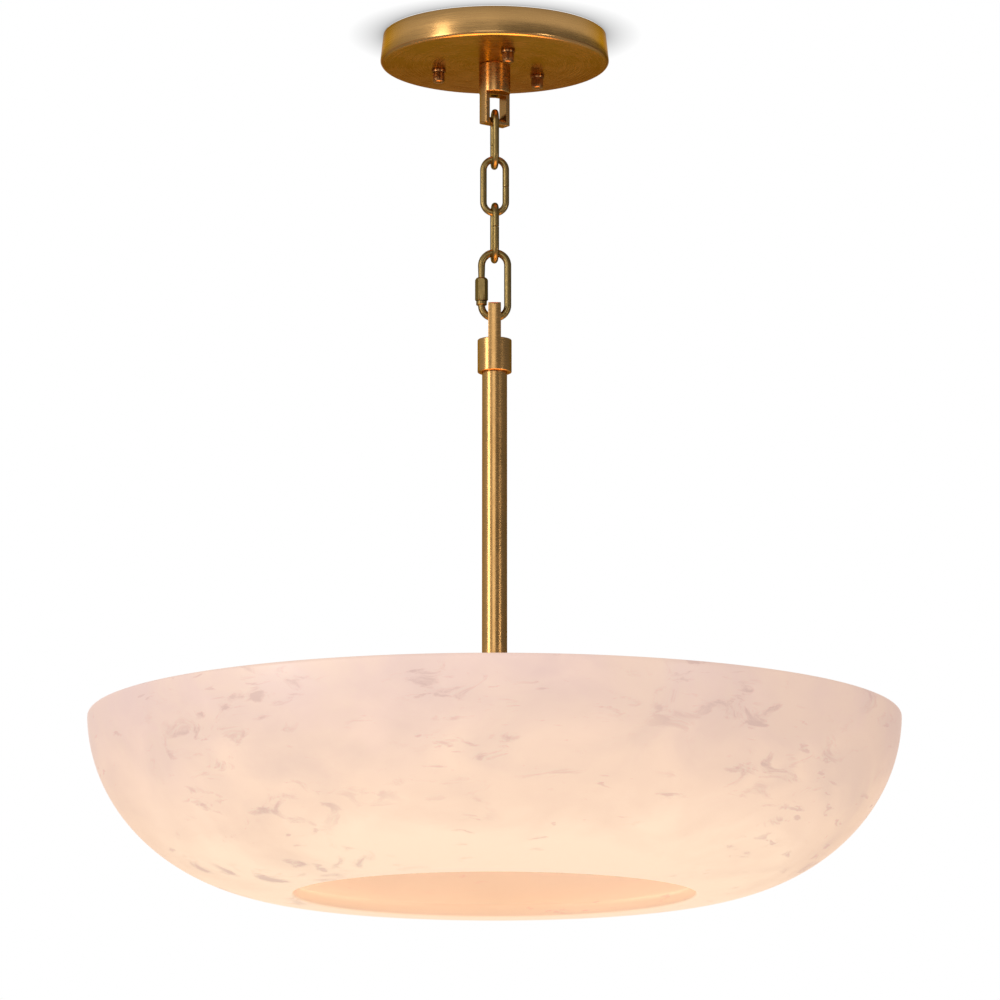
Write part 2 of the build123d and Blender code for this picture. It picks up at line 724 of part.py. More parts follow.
# ---------------------------------------------------------------- hub
hub_inner_radius = hub_radius - hub_wall
cover_screw_circle = hub_radius - hub_wall / 2
with BuildPart() as hub_body:
    with BuildSketch(Plane.XY.offset(hub_bottom_z)):
        Circle(hub_radius)
    extrude(amount=hub_height)
    with BuildSketch(Plane.XY.offset(hub_bottom_z)):
        Circle(hub_inner_radius)
    extrude(amount=hub_height - hub_top_thickness, mode=Mode.SUBTRACT)
    with BuildSketch(Plane.XY.offset(hub_top_z)):
        Circle(stem_radius + running_clearance)
        for azimuth in arm_azimuths.values():
            for screw_position in arm_screw_positions:
                with PolarLocations(screw_position, 1, start_angle=azimuth):
                    Circle(arm_screw_radius)
    extrude(amount=-hub_top_thickness, mode=Mode.SUBTRACT)
    for azimuth in lamp_azimuths:
        with BuildSketch(outward_plane(azimuth, lamp_z, hub_inner_radius - hub_wall)):
            Circle(lamp_nipple_radius)
        extrude(amount=3 * hub_wall, mode=Mode.SUBTRACT)
    with BuildSketch(Plane.XY.offset(hub_bottom_z)):
        for azimuth in cover_screw_azimuths:
            with PolarLocations(cover_screw_circle, 1, start_angle=azimuth):
                Circle(cover_screw_radius)
    extrude(amount=cover_screw_length, mode=Mode.SUBTRACT)
finish(hub_body.part, "hub_body")

with BuildPart() as hub_cover:
    with BuildSketch(Plane.XY.offset(hub_bottom_z)):
        Circle(hub_radius)
    extrude(amount=-hub_cover_thickness)
    fillet(hub_cover.edges().group_by(Axis.Z)[0], hub_cover_edge_radius)
    with BuildSketch(Plane.XY.offset(hub_bottom_z)):
        Circle(hub_inner_radius - running_clearance)
        Circle(hub_inner_radius - hub_cover_thickness, mode=Mode.SUBTRACT)
    extrude(amount=hub_cover_spigot)
    with BuildSketch(Plane.XY.offset(hub_bottom_z)):
        for azimuth in cover_screw_azimuths:
            with PolarLocations(cover_screw_circle, 1, start_angle=azimuth):
                Circle(cover_screw_radius + screw_clearance)
    extrude(amount=-hub_cover_thickness, mode=Mode.SUBTRACT)
finish(hub_cover.part, "hub_cover")

with BuildPart() as hub_cover_screws:
    for azimuth in cover_screw_azimuths:
        with BuildSketch(Plane.XY.offset(hub_bottom_z - hub_cover_thickness)):
            with PolarLocations(cover_screw_circle, 1, start_angle=azimuth):
                Circle(cover_screw_head_radius)
        extrude(amount=-cover_screw_head_height, taper=10)
        with BuildSketch(Plane.XY.offset(hub_bottom_z - hub_cover_thickness)):
            with PolarLocations(cover_screw_circle, 1, start_angle=azimuth):
                Circle(cover_screw_radius)
        extrude(amount=cover_screw_length)
finish(hub_cover_screws.part, "hub_cover_screws")

# ---------------------------------------------------------------- lamp holders and bulbs
lamp_names = {"right": lamp_azimuths[0], "left": lamp_azimuths[1], "front": lamp_azimuths[2]}
husk_mouth_radius = husk_start_radius + husk_length
porcelain_radius = husk_radius - husk_wall - porcelain_clearance
porcelain_start_radius = husk_mouth_radius - porcelain_length
shell_start_radius = husk_mouth_radius - screw_shell_setback - screw_shell_length
bulb_cap_radius = screw_shell_outer_radius - screw_shell_wall - running_clearance
bulb_cap_start_radius = shell_start_radius + screw_shell_setback / 2
bulb_neck_start_radius = bulb_cap_start_radius + bulb_cap_length
bulb_contact_start_radius = bulb_cap_start_radius - bulb_cap_contact_height
bulb_end_radius = bulb_contact_start_radius + bulb_length
socket_floor_radius = bulb_contact_start_radius - seat_gap - bulb_cap_contact_height
nipple_start_radius = hub_inner_radius - lamp_nipple_nut_allowance
nipple_end_radius = husk_start_radius + husk_base_thickness + lamp_nipple_nut_allowance

with BuildPart() as lamp_nipples:
    for azimuth in lamp_azimuths:
        with BuildSketch(outward_plane(azimuth, lamp_z, nipple_start_radius)):
            Circle(lamp_nipple_radius)
            Circle(lamp_nipple_bore_radius, mode=Mode.SUBTRACT)
        extrude(amount=nipple_end_radius - nipple_start_radius)
finish(lamp_nipples.part, "lamp_nipples")

with BuildPart() as socket_contacts:
    for azimuth in lamp_azimuths:
        with BuildSketch(outward_plane(azimuth, lamp_z, socket_floor_radius)):
            Circle(bulb_cap_contact_radius)
        extrude(amount=bulb_cap_contact_height)
finish(socket_contacts.part, "socket_contacts")


def make_husk(azimuth):
    """Turned brass cup round a lamp socket, screwed to the hub by its base."""
    with BuildPart() as husk:
        with BuildSketch(outward_plane(azimuth, lamp_z, husk_start_radius)):
            Circle(husk_radius)
        extrude(amount=husk_length)
        with BuildSketch(outward_plane(azimuth, lamp_z, husk_start_radius + husk_base_thickness)):
            Circle(husk_radius - husk_wall)
        extrude(amount=husk_length - husk_base_thickness, mode=Mode.SUBTRACT)
        with BuildSketch(outward_plane(azimuth, lamp_z, husk_start_radius)):
            Circle(lamp_nipple_radius + running_clearance)
        extrude(amount=husk_base_thickness, mode=Mode.SUBTRACT)
    return husk.part


def make_socket(azimuth):
    """Porcelain socket body with the bore that holds the screw shell."""
    with BuildPart() as socket:
        with BuildSketch(outward_plane(azimuth, lamp_z, porcelain_start_radius)):
            Circle(porcelain_radius)
        extrude(amount=porcelain_length)
        with BuildSketch(outward_plane(azimuth, lamp_z, socket_floor_radius)):
            Circle(screw_shell_outer_radius + running_clearance)
        extrude(amount=husk_mouth_radius - socket_floor_radius, mode=Mode.SUBTRACT)
        with BuildSketch(outward_plane(azimuth, lamp_z, porcelain_start_radius)):
            Circle(lamp_nipple_bore_radius)
        extrude(amount=socket_floor_radius - porcelain_start_radius, mode=Mode.SUBTRACT)
    return socket.part


def make_screw_shell(azimuth):
    """Thin brass sleeve that the bulb screws into."""
    with BuildPart() as shell:
        with BuildSketch(outward_plane(azimuth, lamp_z, shell_start_radius)):
            Circle(screw_shell_outer_radius)
            Circle(screw_shell_outer_radius - screw_shell_wall, mode=Mode.SUBTRACT)
        extrude(amount=screw_shell_length)
    return shell.part


def make_bulb_cap(azimuth):
    """Screw cap of the bulb with its end contact."""
    with BuildPart() as cap:
        with BuildSketch(outward_plane(azimuth, lamp_z, bulb_cap_start_radius)):
            Circle(bulb_cap_radius)
        extrude(amount=bulb_cap_length)
        with BuildSketch(outward_plane(azimuth, lamp_z, bulb_contact_start_radius)):
            Circle(bulb_cap_contact_radius)
        extrude(amount=bulb_cap_contact_height)
    return cap.part


def bulb_outline(inset):
    """Draw the bulb's outline from neck to tip, moved inwards by inset."""
    globe = bulb_radius - inset
    globe_middle = bulb_end_radius - bulb_radius
    shoulder = math.radians(125)
    neck = (bulb_neck_start_radius, lamp_z + bulb_neck_radius - inset)
    joint = (globe_middle + globe * math.cos(shoulder), lamp_z + globe * math.sin(shoulder))
    waist = ((neck[0] + joint[0]) / 2, (neck[1] + joint[1]) / 2 - globe / 12)
    ThreePointArc(neck, waist, joint)
    crown = math.radians(60)
    over = (globe_middle + globe * math.cos(crown), lamp_z + globe * math.sin(crown))
    tip = (globe_middle + globe, lamp_z)
    ThreePointArc(joint, over, tip)
    return neck, tip


def make_bulb_glass(azimuth):
    """Hollow bulb envelope, open where it meets its cap."""
    middle = azimuth_vector(azimuth)
    with BuildPart() as glass:
        with BuildSketch(radial_plane(azimuth)):
            with BuildLine():
                outer_neck, outer_tip = bulb_outline(0)
                inner_neck, inner_tip = bulb_outline(bulb_glass_wall)
                Line(outer_neck, inner_neck)
                Line(outer_tip, inner_tip)
            make_face()
        revolve(axis=Axis((0, 0, lamp_z), middle))
    return glass.part


for side, azimuth in lamp_names.items():
    finish(make_husk(azimuth), "lamp_husk_" + side)
    finish(make_socket(azimuth), "lamp_socket_" + side)
    finish(make_screw_shell(azimuth), "screw_shell_" + side)
    finish(make_bulb_cap(azimuth), "bulb_cap_" + side)
    finish(make_bulb_glass(azimuth), "bulb_glass_" + side)
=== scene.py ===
"""Alabaster bowl pendant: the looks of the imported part, in Blender 4.5.

Metres, in the part's own frame: +Z is up, -Y faces the camera, and the origin is the middle
of the ceiling fixing. Sizes in the dataclasses below are in millimetres.
"""

from __future__ import annotations

import json
import logging
import math
from dataclasses import dataclass, field
from enum import Enum
from typing import Callable, Sequence

import bmesh
import bpy
import numpy as np
from mathutils import Matrix, Vector

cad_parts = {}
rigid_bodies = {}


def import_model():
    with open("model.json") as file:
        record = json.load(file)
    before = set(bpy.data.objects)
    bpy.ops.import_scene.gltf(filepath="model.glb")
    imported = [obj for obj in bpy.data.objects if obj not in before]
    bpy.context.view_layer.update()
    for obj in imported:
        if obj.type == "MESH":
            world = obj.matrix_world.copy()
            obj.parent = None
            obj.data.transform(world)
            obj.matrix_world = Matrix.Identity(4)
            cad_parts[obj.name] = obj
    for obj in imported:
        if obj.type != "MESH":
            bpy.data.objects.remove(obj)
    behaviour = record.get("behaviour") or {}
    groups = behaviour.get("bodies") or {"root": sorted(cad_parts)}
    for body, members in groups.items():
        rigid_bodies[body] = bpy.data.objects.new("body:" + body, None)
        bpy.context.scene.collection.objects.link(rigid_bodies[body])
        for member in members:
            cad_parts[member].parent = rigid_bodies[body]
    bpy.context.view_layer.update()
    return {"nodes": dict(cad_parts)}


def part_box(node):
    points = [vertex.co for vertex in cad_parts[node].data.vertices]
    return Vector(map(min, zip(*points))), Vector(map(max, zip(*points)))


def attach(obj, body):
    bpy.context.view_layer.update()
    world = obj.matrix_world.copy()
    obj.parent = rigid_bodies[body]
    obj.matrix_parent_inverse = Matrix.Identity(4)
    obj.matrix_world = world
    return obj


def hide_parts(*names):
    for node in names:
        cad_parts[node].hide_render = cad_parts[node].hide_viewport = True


LOG = logging.getLogger("alabaster_pendant")
MM = 0.001
SMOOTH_ANGLE = math.radians(32.0)
NEAR_AXIS = 0.0001          # metres; keeps divisions by a radius safe on the axis
SAME_RADIUS = 1e-6          # millimetres; two radii closer than this are one

Colour = tuple[float, float, float]
Profile = list[tuple[float, float]]
RingShape = Callable[[float, float, np.ndarray], np.ndarray]


# ------------------------------------------------------------------ node trees
class NodeBoard:
    """Adds nodes to one tree and joins them."""

    def __init__(self, tree: bpy.types.NodeTree) -> None:
        """Keep the tree that the nodes go into."""
        self.tree = tree

    def add(self, kind: str, feeds: dict | None = None, **settings: object) -> bpy.types.Node:
        """Add one node.

        Args:
            kind: Blender's name for the type of node.
            feeds: input name or index, and the value or output socket that feeds it.
            settings: attributes of the node, set before its inputs.

        Returns:
            The new node.
        """
        node = self.tree.nodes.new(kind)
        for name, value in settings.items():
            setattr(node, name, value)
        for key, value in (feeds or {}).items():
            if isinstance(value, bpy.types.NodeSocket):
                self.tree.links.new(value, node.inputs[key])
            else:
                node.inputs[key].default_value = value
        return node

    def sum(self, kind: str, first: object, second: object = 0.0) -> bpy.types.NodeSocket:
        """Work out one Math node, such as ADD or MULTIPLY, and return its value."""
        return self.add("ShaderNodeMath", {0: first, 1: second}, operation=kind).outputs[0]

    def stretch(self, vector: bpy.types.NodeSocket, scale: Colour) -> bpy.types.NodeSocket:
        """Multiply a vector, part by part, by three fixed numbers."""
        feeds = {0: vector, 1: scale}
        return self.add("ShaderNodeVectorMath", feeds, operation="MULTIPLY").outputs[0]

    def noise(
        self,
        vector: bpy.types.NodeSocket,
        scale: object,
        detail: float = 3.0,
        roughness: float = 0.55,
        distortion: float = 0.0,
    ) -> bpy.types.NodeSocket:
        """Return the grey value of a noise texture.

        Args:
            vector: where the texture is read.
            scale: how many features fit in a metre.
            detail: octaves of finer noise.
            roughness: how strong the finer octaves are.
            distortion: how much the noise bends itself.

        Returns:
            The texture's value, from 0 to 1 and mostly near 0.5.
        """
        feeds = {
            "Vector": vector,
            "Scale": scale,
            "Detail": detail,
            "Roughness": roughness,
            "Distortion": distortion,
        }
        return self.add("ShaderNodeTexNoise", feeds).outputs["Fac"]

    def ramp(
        self,
        value: bpy.types.NodeSocket,
        low: object,
        high: object,
        to_low: object = 0.0,
        to_high: object = 1.0,
    ) -> bpy.types.NodeSocket:
        """Carry a value smoothly from one range to another.

        Args:
            value: the value to carry over.
            low: where the old range starts.
            high: where the old range ends.
            to_low: where the new range starts.
            to_high: where the new range ends.

        Returns:
            The value in the new range, held at its ends.
        """
        feeds = {
            "Value": value,
            "From Min": low,
            "From Max": high,
            "To Min": to_low,
            "To Max": to_high,
        }
        return self.add("ShaderNodeMapRange", feeds, interpolation_type="SMOOTHSTEP").outputs[0]

    def blend(self, share: object, first: object, second: object) -> bpy.types.NodeSocket:
        """Mix two colours.

        Args:
            share: how much of the second colour shows.
            first: a colour, or a socket that gives one.
            second: a colour, or a socket that gives one.

        Returns:
            The mixed colour.
        """
        feeds = {0: share, 6: solid(first), 7: solid(second)}
        return self.add("ShaderNodeMix", feeds, data_type="RGBA").outputs[2]

    def relief(self, height: bpy.types.NodeSocket, depth: float) -> bpy.types.NodeSocket:
        """Turn a height into a normal, depth metres from valley to crest."""
        feeds = {"Strength": 1.0, "Distance": depth, "Height": height}
        return self.add("ShaderNodeBump", feeds).outputs["Normal"]

    def group(self, tree: bpy.types.NodeTree, feeds: dict) -> bpy.types.Node:
        """Place a shared effect with its own values and return its node."""
        return self.add("ShaderNodeGroup", feeds, node_tree=tree)

    def distance_from_axis(self, parts: bpy.types.bpy_prop_collection) -> bpy.types.NodeSocket:
        """Work out how far a point is from the Z axis.

        Args:
            parts: the point's X, Y and Z sockets.

        Returns:
            The distance.
        """
        across = self.sum("POWER", parts["X"], 2.0)
        deep = self.sum("POWER", parts["Y"], 2.0)
        return self.sum("SQRT", self.sum("ADD", across, deep))


def solid(colour: object) -> object:
    """Give a colour its fourth number, and leave a socket as it is."""
    return (*colour, 1.0) if isinstance(colour, tuple) and len(colour) == 3 else colour


def effect_tree(name: str, inputs: dict[str, float | None], outputs: Sequence[str]) -> NodeBoard:
    """Start a shader node group with named sockets.

    Args:
        name: name of the group.
        inputs: socket names and their starting values; None makes a vector socket.
        outputs: names of the value sockets that it puts out.

    Returns:
        A board on the new group.
    """
    tree = bpy.data.node_groups.new(name, "ShaderNodeTree")
    for label, value in inputs.items():
        kind = "NodeSocketVector" if value is None else "NodeSocketFloat"
        socket = tree.interface.new_socket(label, in_out="INPUT", socket_type=kind)
        if value is not None:
            socket.default_value = value
    for label in outputs:
        tree.interface.new_socket(label, in_out="OUTPUT", socket_type="NodeSocketFloat")
    return NodeBoard(tree)


@dataclass
class Effects:
    """Surface effects that several finishes share, each one a node group."""

    turned: bpy.types.NodeTree = field(init=False)
    drawn: bpy.types.NodeTree = field(init=False)
    patina: bpy.types.NodeTree = field(init=False)
    pitted: bpy.types.NodeTree = field(init=False)

    def __post_init__(self) -> None:
        """Build each group once."""
        self.turned = self.turned_lines()
        self.drawn = self.drawn_lines()
        self.patina = self.handled_patina()
        self.pitted = self.fine_pits()

    @staticmethod
    def turned_lines() -> bpy.types.NodeTree:
        """Fine lines that run round the Z axis, as a lathe or a brush leaves them.

        Returns:
            The group, which puts out Lines from 0 to 1.
        """
        board = effect_tree(
            "turned_lines", {"Vector": None, "Fineness": 2000.0, "Sweep": 3.0}, ["Lines"]
        )
        start = board.add("NodeGroupInput")
        end = board.add("NodeGroupOutput")
        parts = board.add("ShaderNodeSeparateXYZ", {0: start.outputs["Vector"]}).outputs
        radius = board.distance_from_axis(parts)
        guarded = board.sum("MAXIMUM", radius, NEAR_AXIS)
        cosine = board.sum("DIVIDE", parts["X"], guarded)
        cosine = board.sum("MULTIPLY", cosine, start.outputs["Sweep"])
        sine = board.sum("DIVIDE", parts["Y"], guarded)
        sine = board.sum("MULTIPLY", sine, start.outputs["Sweep"])
        level = board.sum("MULTIPLY", parts["Z"], start.outputs["Fineness"])
        reach = board.sum("MULTIPLY", radius, start.outputs["Fineness"])
        place = board.add("ShaderNodeCombineXYZ", {0: cosine, 1: sine, 2: level}).outputs[0]
        feeds = {"Vector": place, "W": reach, "Scale": 1.0, "Detail": 2.0, "Roughness": 0.6}
        lines = board.add("ShaderNodeTexNoise", feeds, noise_dimensions="4D").outputs["Fac"]
        board.tree.links.new(board.ramp(lines, 0.3, 0.7), end.inputs["Lines"])
        return board.tree

    @staticmethod
    def drawn_lines() -> bpy.types.NodeTree:
        """Long fine scratches along the Z axis, as on drawn or polished wire and tube.

        Returns:
            The group, which puts out Lines from 0 to 1.
        """
        board = effect_tree(
            "drawn_lines", {"Vector": None, "Fineness": 2000.0, "Length": 0.03}, ["Lines"]
        )
        start = board.add("NodeGroupInput")
        end = board.add("NodeGroupOutput")
        parts = board.add("ShaderNodeSeparateXYZ", {0: start.outputs["Vector"]}).outputs
        level = board.sum("MULTIPLY", parts["Z"], start.outputs["Length"])
        feeds = {0: parts["X"], 1: parts["Y"], 2: level}
        place = board.add("ShaderNodeCombineXYZ", feeds).outputs[0]
        lines = board.noise(place, start.outputs["Fineness"], 2.0, 0.6)
        board.tree.links.new(board.ramp(lines, 0.3, 0.7), end.inputs["Lines"])
        return board.tree

    @staticmethod
    def handled_patina() -> bpy.types.NodeTree:
        """Soft uneven tarnish, and the duller patches that go with it.

        Returns:
            The group, which puts out Tarnish and Dullness, both from 0 to 1.
        """
        board = effect_tree(
            "handled_patina", {"Vector": None, "Scale": 40.0, "Cover": 0.5}, ["Tarnish", "Dullness"]
        )
        start = board.add("NodeGroupInput")
        end = board.add("NodeGroupOutput")
        clouds = board.noise(start.outputs["Vector"], start.outputs["Scale"], 5.0, 0.62, 0.4)
        edge = board.sum("SUBTRACT", 1.0, start.outputs["Cover"])
        low = board.sum("SUBTRACT", edge, 0.2)
        high = board.sum("ADD", edge, 0.2)
        board.tree.links.new(board.ramp(clouds, low, high), end.inputs["Tarnish"])
        finer = board.sum("MULTIPLY", start.outputs["Scale"], 4.3)
        smears = board.noise(start.outputs["Vector"], finer, 3.0, 0.5)
        board.tree.links.new(board.ramp(smears, 0.3, 0.75), end.inputs["Dullness"])
        return board.tree

    @staticmethod
    def fine_pits() -> bpy.types.NodeTree:
        """Slight unevenness of a cast, glazed, painted or plated surface.

        Returns:
            The group, which puts out Pits, mostly near 0.5.
        """
        board = effect_tree("fine_pits", {"Vector": None, "Scale": 900.0}, ["Pits"])
        start = board.add("NodeGroupInput")
        end = board.add("NodeGroupOutput")
        pits = board.noise(start.outputs["Vector"], start.outputs["Scale"], 2.0, 0.5)
        board.tree.links.new(pits, end.inputs["Pits"])
        return board.tree


# ------------------------------------------------------------------ finishes
class Grain(Enum):
    """Which way the marks of a metal's finish run."""

    ROUND = "round the axis"
    ALONG = "along the axis"
    NONE = "no direction"


def blank_material(name: str) -> tuple[bpy.types.Material, NodeBoard, bpy.types.Node]:
    """Make a material with one Principled shader.

    Args:
        name: the material's name.

    Returns:
        The material, a board on its tree, and its shader node.
    """
    material = bpy.data.materials.new(name)
    material.use_nodes = True
    material.node_tree.nodes.clear()
    board = NodeBoard(material.node_tree)
    shader = board.add("ShaderNodeBsdfPrincipled")
    board.add("ShaderNodeOutputMaterial", {"Surface": shader.outputs["BSDF"]})
    return material, board, shader


@dataclass(frozen=True)
class MetalFinish:
    """Brushed, turned or aged metal."""

    name: str
    fresh: Colour
    aged: Colour
    roughness: float
    grain: Grain = Grain.ROUND
    fineness: float = 1800.0
    depth: float = 0.000002
    patina_scale: float = 14.0
    cover: float = 0.45
    streaks: float = 0.1
    edge: Colour = (0.8, 0.6, 0.3)
    dulling: float = 0.07
    rubbing: float = 0.08

    def make(self, effects: Effects) -> bpy.types.Material:
        """Build the material.

        Args:
            effects: the shared node groups.

        Returns:
            The finished material.
        """
        material, board, shader = blank_material(self.name)
        place = board.add("ShaderNodeTexCoord").outputs["Object"]
        effect, size = {
            Grain.ROUND: (effects.turned, "Fineness"),
            Grain.ALONG: (effects.drawn, "Fineness"),
            Grain.NONE: (effects.pitted, "Scale"),
        }[self.grain]
        lines = board.group(effect, {"Vector": place, size: self.fineness}).outputs[0]
        feeds = {"Vector": place, "Scale": self.patina_scale, "Cover": self.cover}
        patina = board.group(effects.patina, feeds)
        tint = board.blend(patina.outputs["Tarnish"], self.fresh, self.aged)
        shade = board.ramp(lines, 0.0, 1.0, 1.0 - self.streaks, 1.0)
        brushed = board.add("ShaderNodeVectorMath", {0: tint}, operation="SCALE")
        board.tree.links.new(shade, brushed.inputs["Scale"])
        dull = board.sum("MULTIPLY", patina.outputs["Dullness"], self.dulling)
        rubbed = board.sum("MULTIPLY", lines, self.rubbing)
        rough = board.sum("ADD", board.sum("ADD", dull, rubbed), self.roughness - self.rubbing)
        board.tree.links.new(brushed.outputs[0], shader.inputs["Base Color"])
        board.tree.links.new(rough, shader.inputs["Roughness"])
        board.tree.links.new(board.relief(lines, self.depth), shader.inputs["Normal"])
        shader.inputs["Metallic"].default_value = 1.0
        shader.inputs["Specular Tint"].default_value = (*self.edge, 1.0)
        return material


@dataclass(frozen=True)
class PlainFinish:
    """Glazed, moulded or painted surface: one tone with soft clouding and fine pits."""

    name: str
    pale: Colour
    deep: Colour
    roughness: float
    clouds: float = 60.0
    pits: float = 900.0
    depth: float = 0.00001
    coat: float = 0.0
    seen_through: float = 0.0

    def make(self, effects: Effects) -> bpy.types.Material:
        """Build the material.

        Args:
            effects: the shared node groups.

        Returns:
            The finished material.
        """
        material, board, shader = blank_material(self.name)
        place = board.add("ShaderNodeTexCoord").outputs["Object"]
        cloud = board.ramp(board.noise(place, self.clouds, 4.0, 0.6), 0.35, 0.68)
        pits = board.group(effects.pitted, {"Vector": place, "Scale": self.pits}).outputs[0]
        board.tree.links.new(board.blend(cloud, self.pale, self.deep), shader.inputs["Base Color"])
        rough = board.ramp(pits, 0.3, 0.7, self.roughness - 0.05, self.roughness + 0.05)
        board.tree.links.new(rough, shader.inputs["Roughness"])
        board.tree.links.new(board.relief(pits, self.depth), shader.inputs["Normal"])
        shader.inputs["Coat Weight"].default_value = self.coat
        shader.inputs["Coat Roughness"].default_value = 0.08
        shader.inputs["Subsurface Weight"].default_value = self.seen_through
        return material


@dataclass(frozen=True)
class LitGlassFinish:
    """White coated bulb, lit from inside."""

    name: str
    glass: Colour
    light: Colour
    strength: float

    def make(self, effects: Effects) -> bpy.types.Material:
        """Build the material.

        Args:
            effects: the shared node groups.

        Returns:
            The finished material.
        """
        material, board, shader = blank_material(self.name)
        place = board.add("ShaderNodeTexCoord").outputs["Object"]
        frost = board.group(effects.pitted, {"Vector": place, "Scale": 260.0}).outputs[0]
        soft = board.ramp(frost, 0.3, 0.7, 0.9, 1.0)
        light = board.add("ShaderNodeVectorMath", {0: self.light}, operation="SCALE")
        board.tree.links.new(soft, light.inputs["Scale"])
        board.tree.links.new(light.outputs[0], shader.inputs["Emission Color"])
        tone = board.blend(frost, self.glass, tuple(0.94 * value for value in self.glass))
        board.tree.links.new(tone, shader.inputs["Base Color"])
        board.tree.links.new(board.relief(frost, 0.00003), shader.inputs["Normal"])
        shader.inputs["Emission Strength"].default_value = self.strength
        shader.inputs["Roughness"].default_value = 0.32
        return material


@dataclass(frozen=True)
class AlabasterFinish:
    """Translucent stone whose glow is painted light: emission, brighter where the lamps behind it
    are near.
    """

    name: str
    rim_height: float
    depth: float
    lamps: tuple[Vector, ...]
    opening: float
    radius: float
    reach: float = 0.12
    stone: Colour = (0.66, 0.56, 0.52)
    mauve: Colour = (0.52, 0.45, 0.50)
    # dusk, amber and honey are colours of the painted glow, from dim to bright; inner is its dimmer
    # tone on the inner face.
    dusk: Colour = (0.43, 0.27, 0.185)
    amber: Colour = (0.6, 0.39, 0.245)
    honey: Colour = (0.74, 0.52, 0.335)
    inner: Colour = (0.45, 0.25, 0.12)
    vein: Colour = (0.36, 0.24, 0.215)
    strength: float = 1.0
    cloud_scale: float = 6.5
    patch_scale: float = 15.0
    wisp_scale: float = 27.0
    fleck_scale: float = 44.0
    lamp_share_of_glow: float = 0.5
    depth_share_of_glow: float = 0.55
    cloud_share_of_glow: float = 1.1
    patch_share_of_glow: float = 0.7
    wisp_cover: float = 0.55
    fleck_cover: float = 0.45

    def lamp_share(self, board: NodeBoard, place: bpy.types.NodeSocket) -> bpy.types.NodeSocket:
        """Add up how near each lamp is.

        Args:
            board: the material's board.
            place: the point on the stone.

        Returns:
            A value that grows towards the lamps.
        """
        total: bpy.types.NodeSocket | None = None
        for lamp in self.lamps:
            feeds = {0: place, 1: tuple(lamp)}
            far = board.add("ShaderNodeVectorMath", feeds, operation="DISTANCE").outputs["Value"]
            fall = board.sum("POWER", board.sum("DIVIDE", far, self.reach), 2.0)
            share = board.sum("DIVIDE", 1.0, board.sum("ADD", fall, 1.0))
            total = share if total is None else board.sum("ADD", total, share)
        return total

    def inside_share(self, board: NodeBoard, place: bpy.types.NodeSocket) -> bpy.types.NodeSocket:
        """Tell the bowl's inner face from its outer one by the wall's own curve.

        Args:
            board: the material's board.
            place: the point on the stone.

        Returns:
            1 on the inner face and 0 on the outer one.
        """
        parts = board.add("ShaderNodeSeparateXYZ", {0: place}).outputs
        radius = board.distance_from_axis(parts)
        out = board.sum("SUBTRACT", radius, self.opening)
        out = board.sum("DIVIDE", out, self.radius - self.opening)
        down = board.sum("DIVIDE", board.sum("SUBTRACT", parts["Z"], self.rim_height), self.depth)
        curve = board.sum("ADD", board.sum("POWER", out, 2.0), board.sum("POWER", down, 2.0))
        return board.ramp(curve, 0.985, 0.95)

    def vein_share(self, board: NodeBoard, place: bpy.types.NodeSocket) -> bpy.types.NodeSocket:
        """Short level veins and flecks, in some places only.

        Args:
            board: the material's board.
            place: the point on the stone.

        Returns:
            How much of the vein colour shows.
        """
        wisps = board.noise(board.stretch(place, (1.0, 1.0, 2.6)), self.wisp_scale, 6.0, 0.62, 0.9)
        where = board.ramp(board.noise(place, 8.0, 2.0, 0.5), 0.46, 0.6)
        thin = board.sum("MULTIPLY", where, board.ramp(wisps, 0.545, 0.68))
        veins = board.sum("MULTIPLY", thin, self.wisp_cover)
        level = board.stretch(place, (1.0, 1.0, 4.5))
        flecks = board.noise(level, self.fleck_scale, 4.0, 0.55, 0.4)
        around = board.noise(board.stretch(place, (1.0, 1.0, 2.0)), 11.0, 2.0, 0.5)
        short = board.sum("MULTIPLY", board.ramp(around, 0.5, 0.62), board.ramp(flecks, 0.6, 0.68))
        return board.sum("MAXIMUM", veins, board.sum("MULTIPLY", short, self.fleck_cover))

    def make(self, effects: Effects) -> bpy.types.Material:
        """Build the material.

        Args:
            effects: the shared node groups.

        Returns:
            The finished material.
        """
        material, board, shader = blank_material(self.name)
        place = board.add("ShaderNodeTexCoord").outputs["Object"]
        level = board.add("ShaderNodeSeparateXYZ", {0: place}).outputs["Z"]
        drop = board.ramp(level, self.rim_height, self.rim_height - self.depth)
        clouds = board.noise(place, self.cloud_scale, 6.0, 0.58, 0.9)
        flat = board.stretch(place, (1.0, 1.0, 1.7))
        patches = board.noise(flat, self.patch_scale, 6.0, 0.6, 0.6)

        # Painted light: how strongly the lamps' light comes through, painted into the emission,
        # stronger near each lamp and lower down.
        near = board.ramp(self.lamp_share(board, place), 0.38, 0.92)
        low = board.sum("MULTIPLY", drop, self.depth_share_of_glow)
        mottle = board.sum("MULTIPLY", board.sum("SUBTRACT", clouds, 0.5), self.cloud_share_of_glow)
        finer = board.sum("MULTIPLY", board.sum("SUBTRACT", patches, 0.5), self.patch_share_of_glow)
        glow = board.sum("ADD", board.sum("MULTIPLY", near, self.lamp_share_of_glow), low)
        glow = board.sum("ADD", board.sum("ADD", glow, mottle), finer)
        warm = board.blend(board.ramp(glow, 0.0, 0.55), self.dusk, self.amber)
        warm = board.blend(board.ramp(glow, 0.45, 1.0), warm, self.honey)
        # Painted light: the inner face glows dimmer and more orange than the outer one.
        warm = board.blend(self.inside_share(board, place), warm, self.inner)

        veins = self.vein_share(board, place)
        light = board.blend(veins, warm, self.vein)

        # The stone's base colour: mauve clouds in the stone, with painted shade making them
        # stronger near the rim, where less lamp light comes through.
        high = board.sum("SUBTRACT", 1.0, drop)
        mauve_and_rim_shade = board.sum("MULTIPLY", board.ramp(clouds, 0.4, 0.66), high)
        body = board.blend(mauve_and_rim_shade, self.stone, self.mauve)
        body = board.blend(veins, body, self.vein)

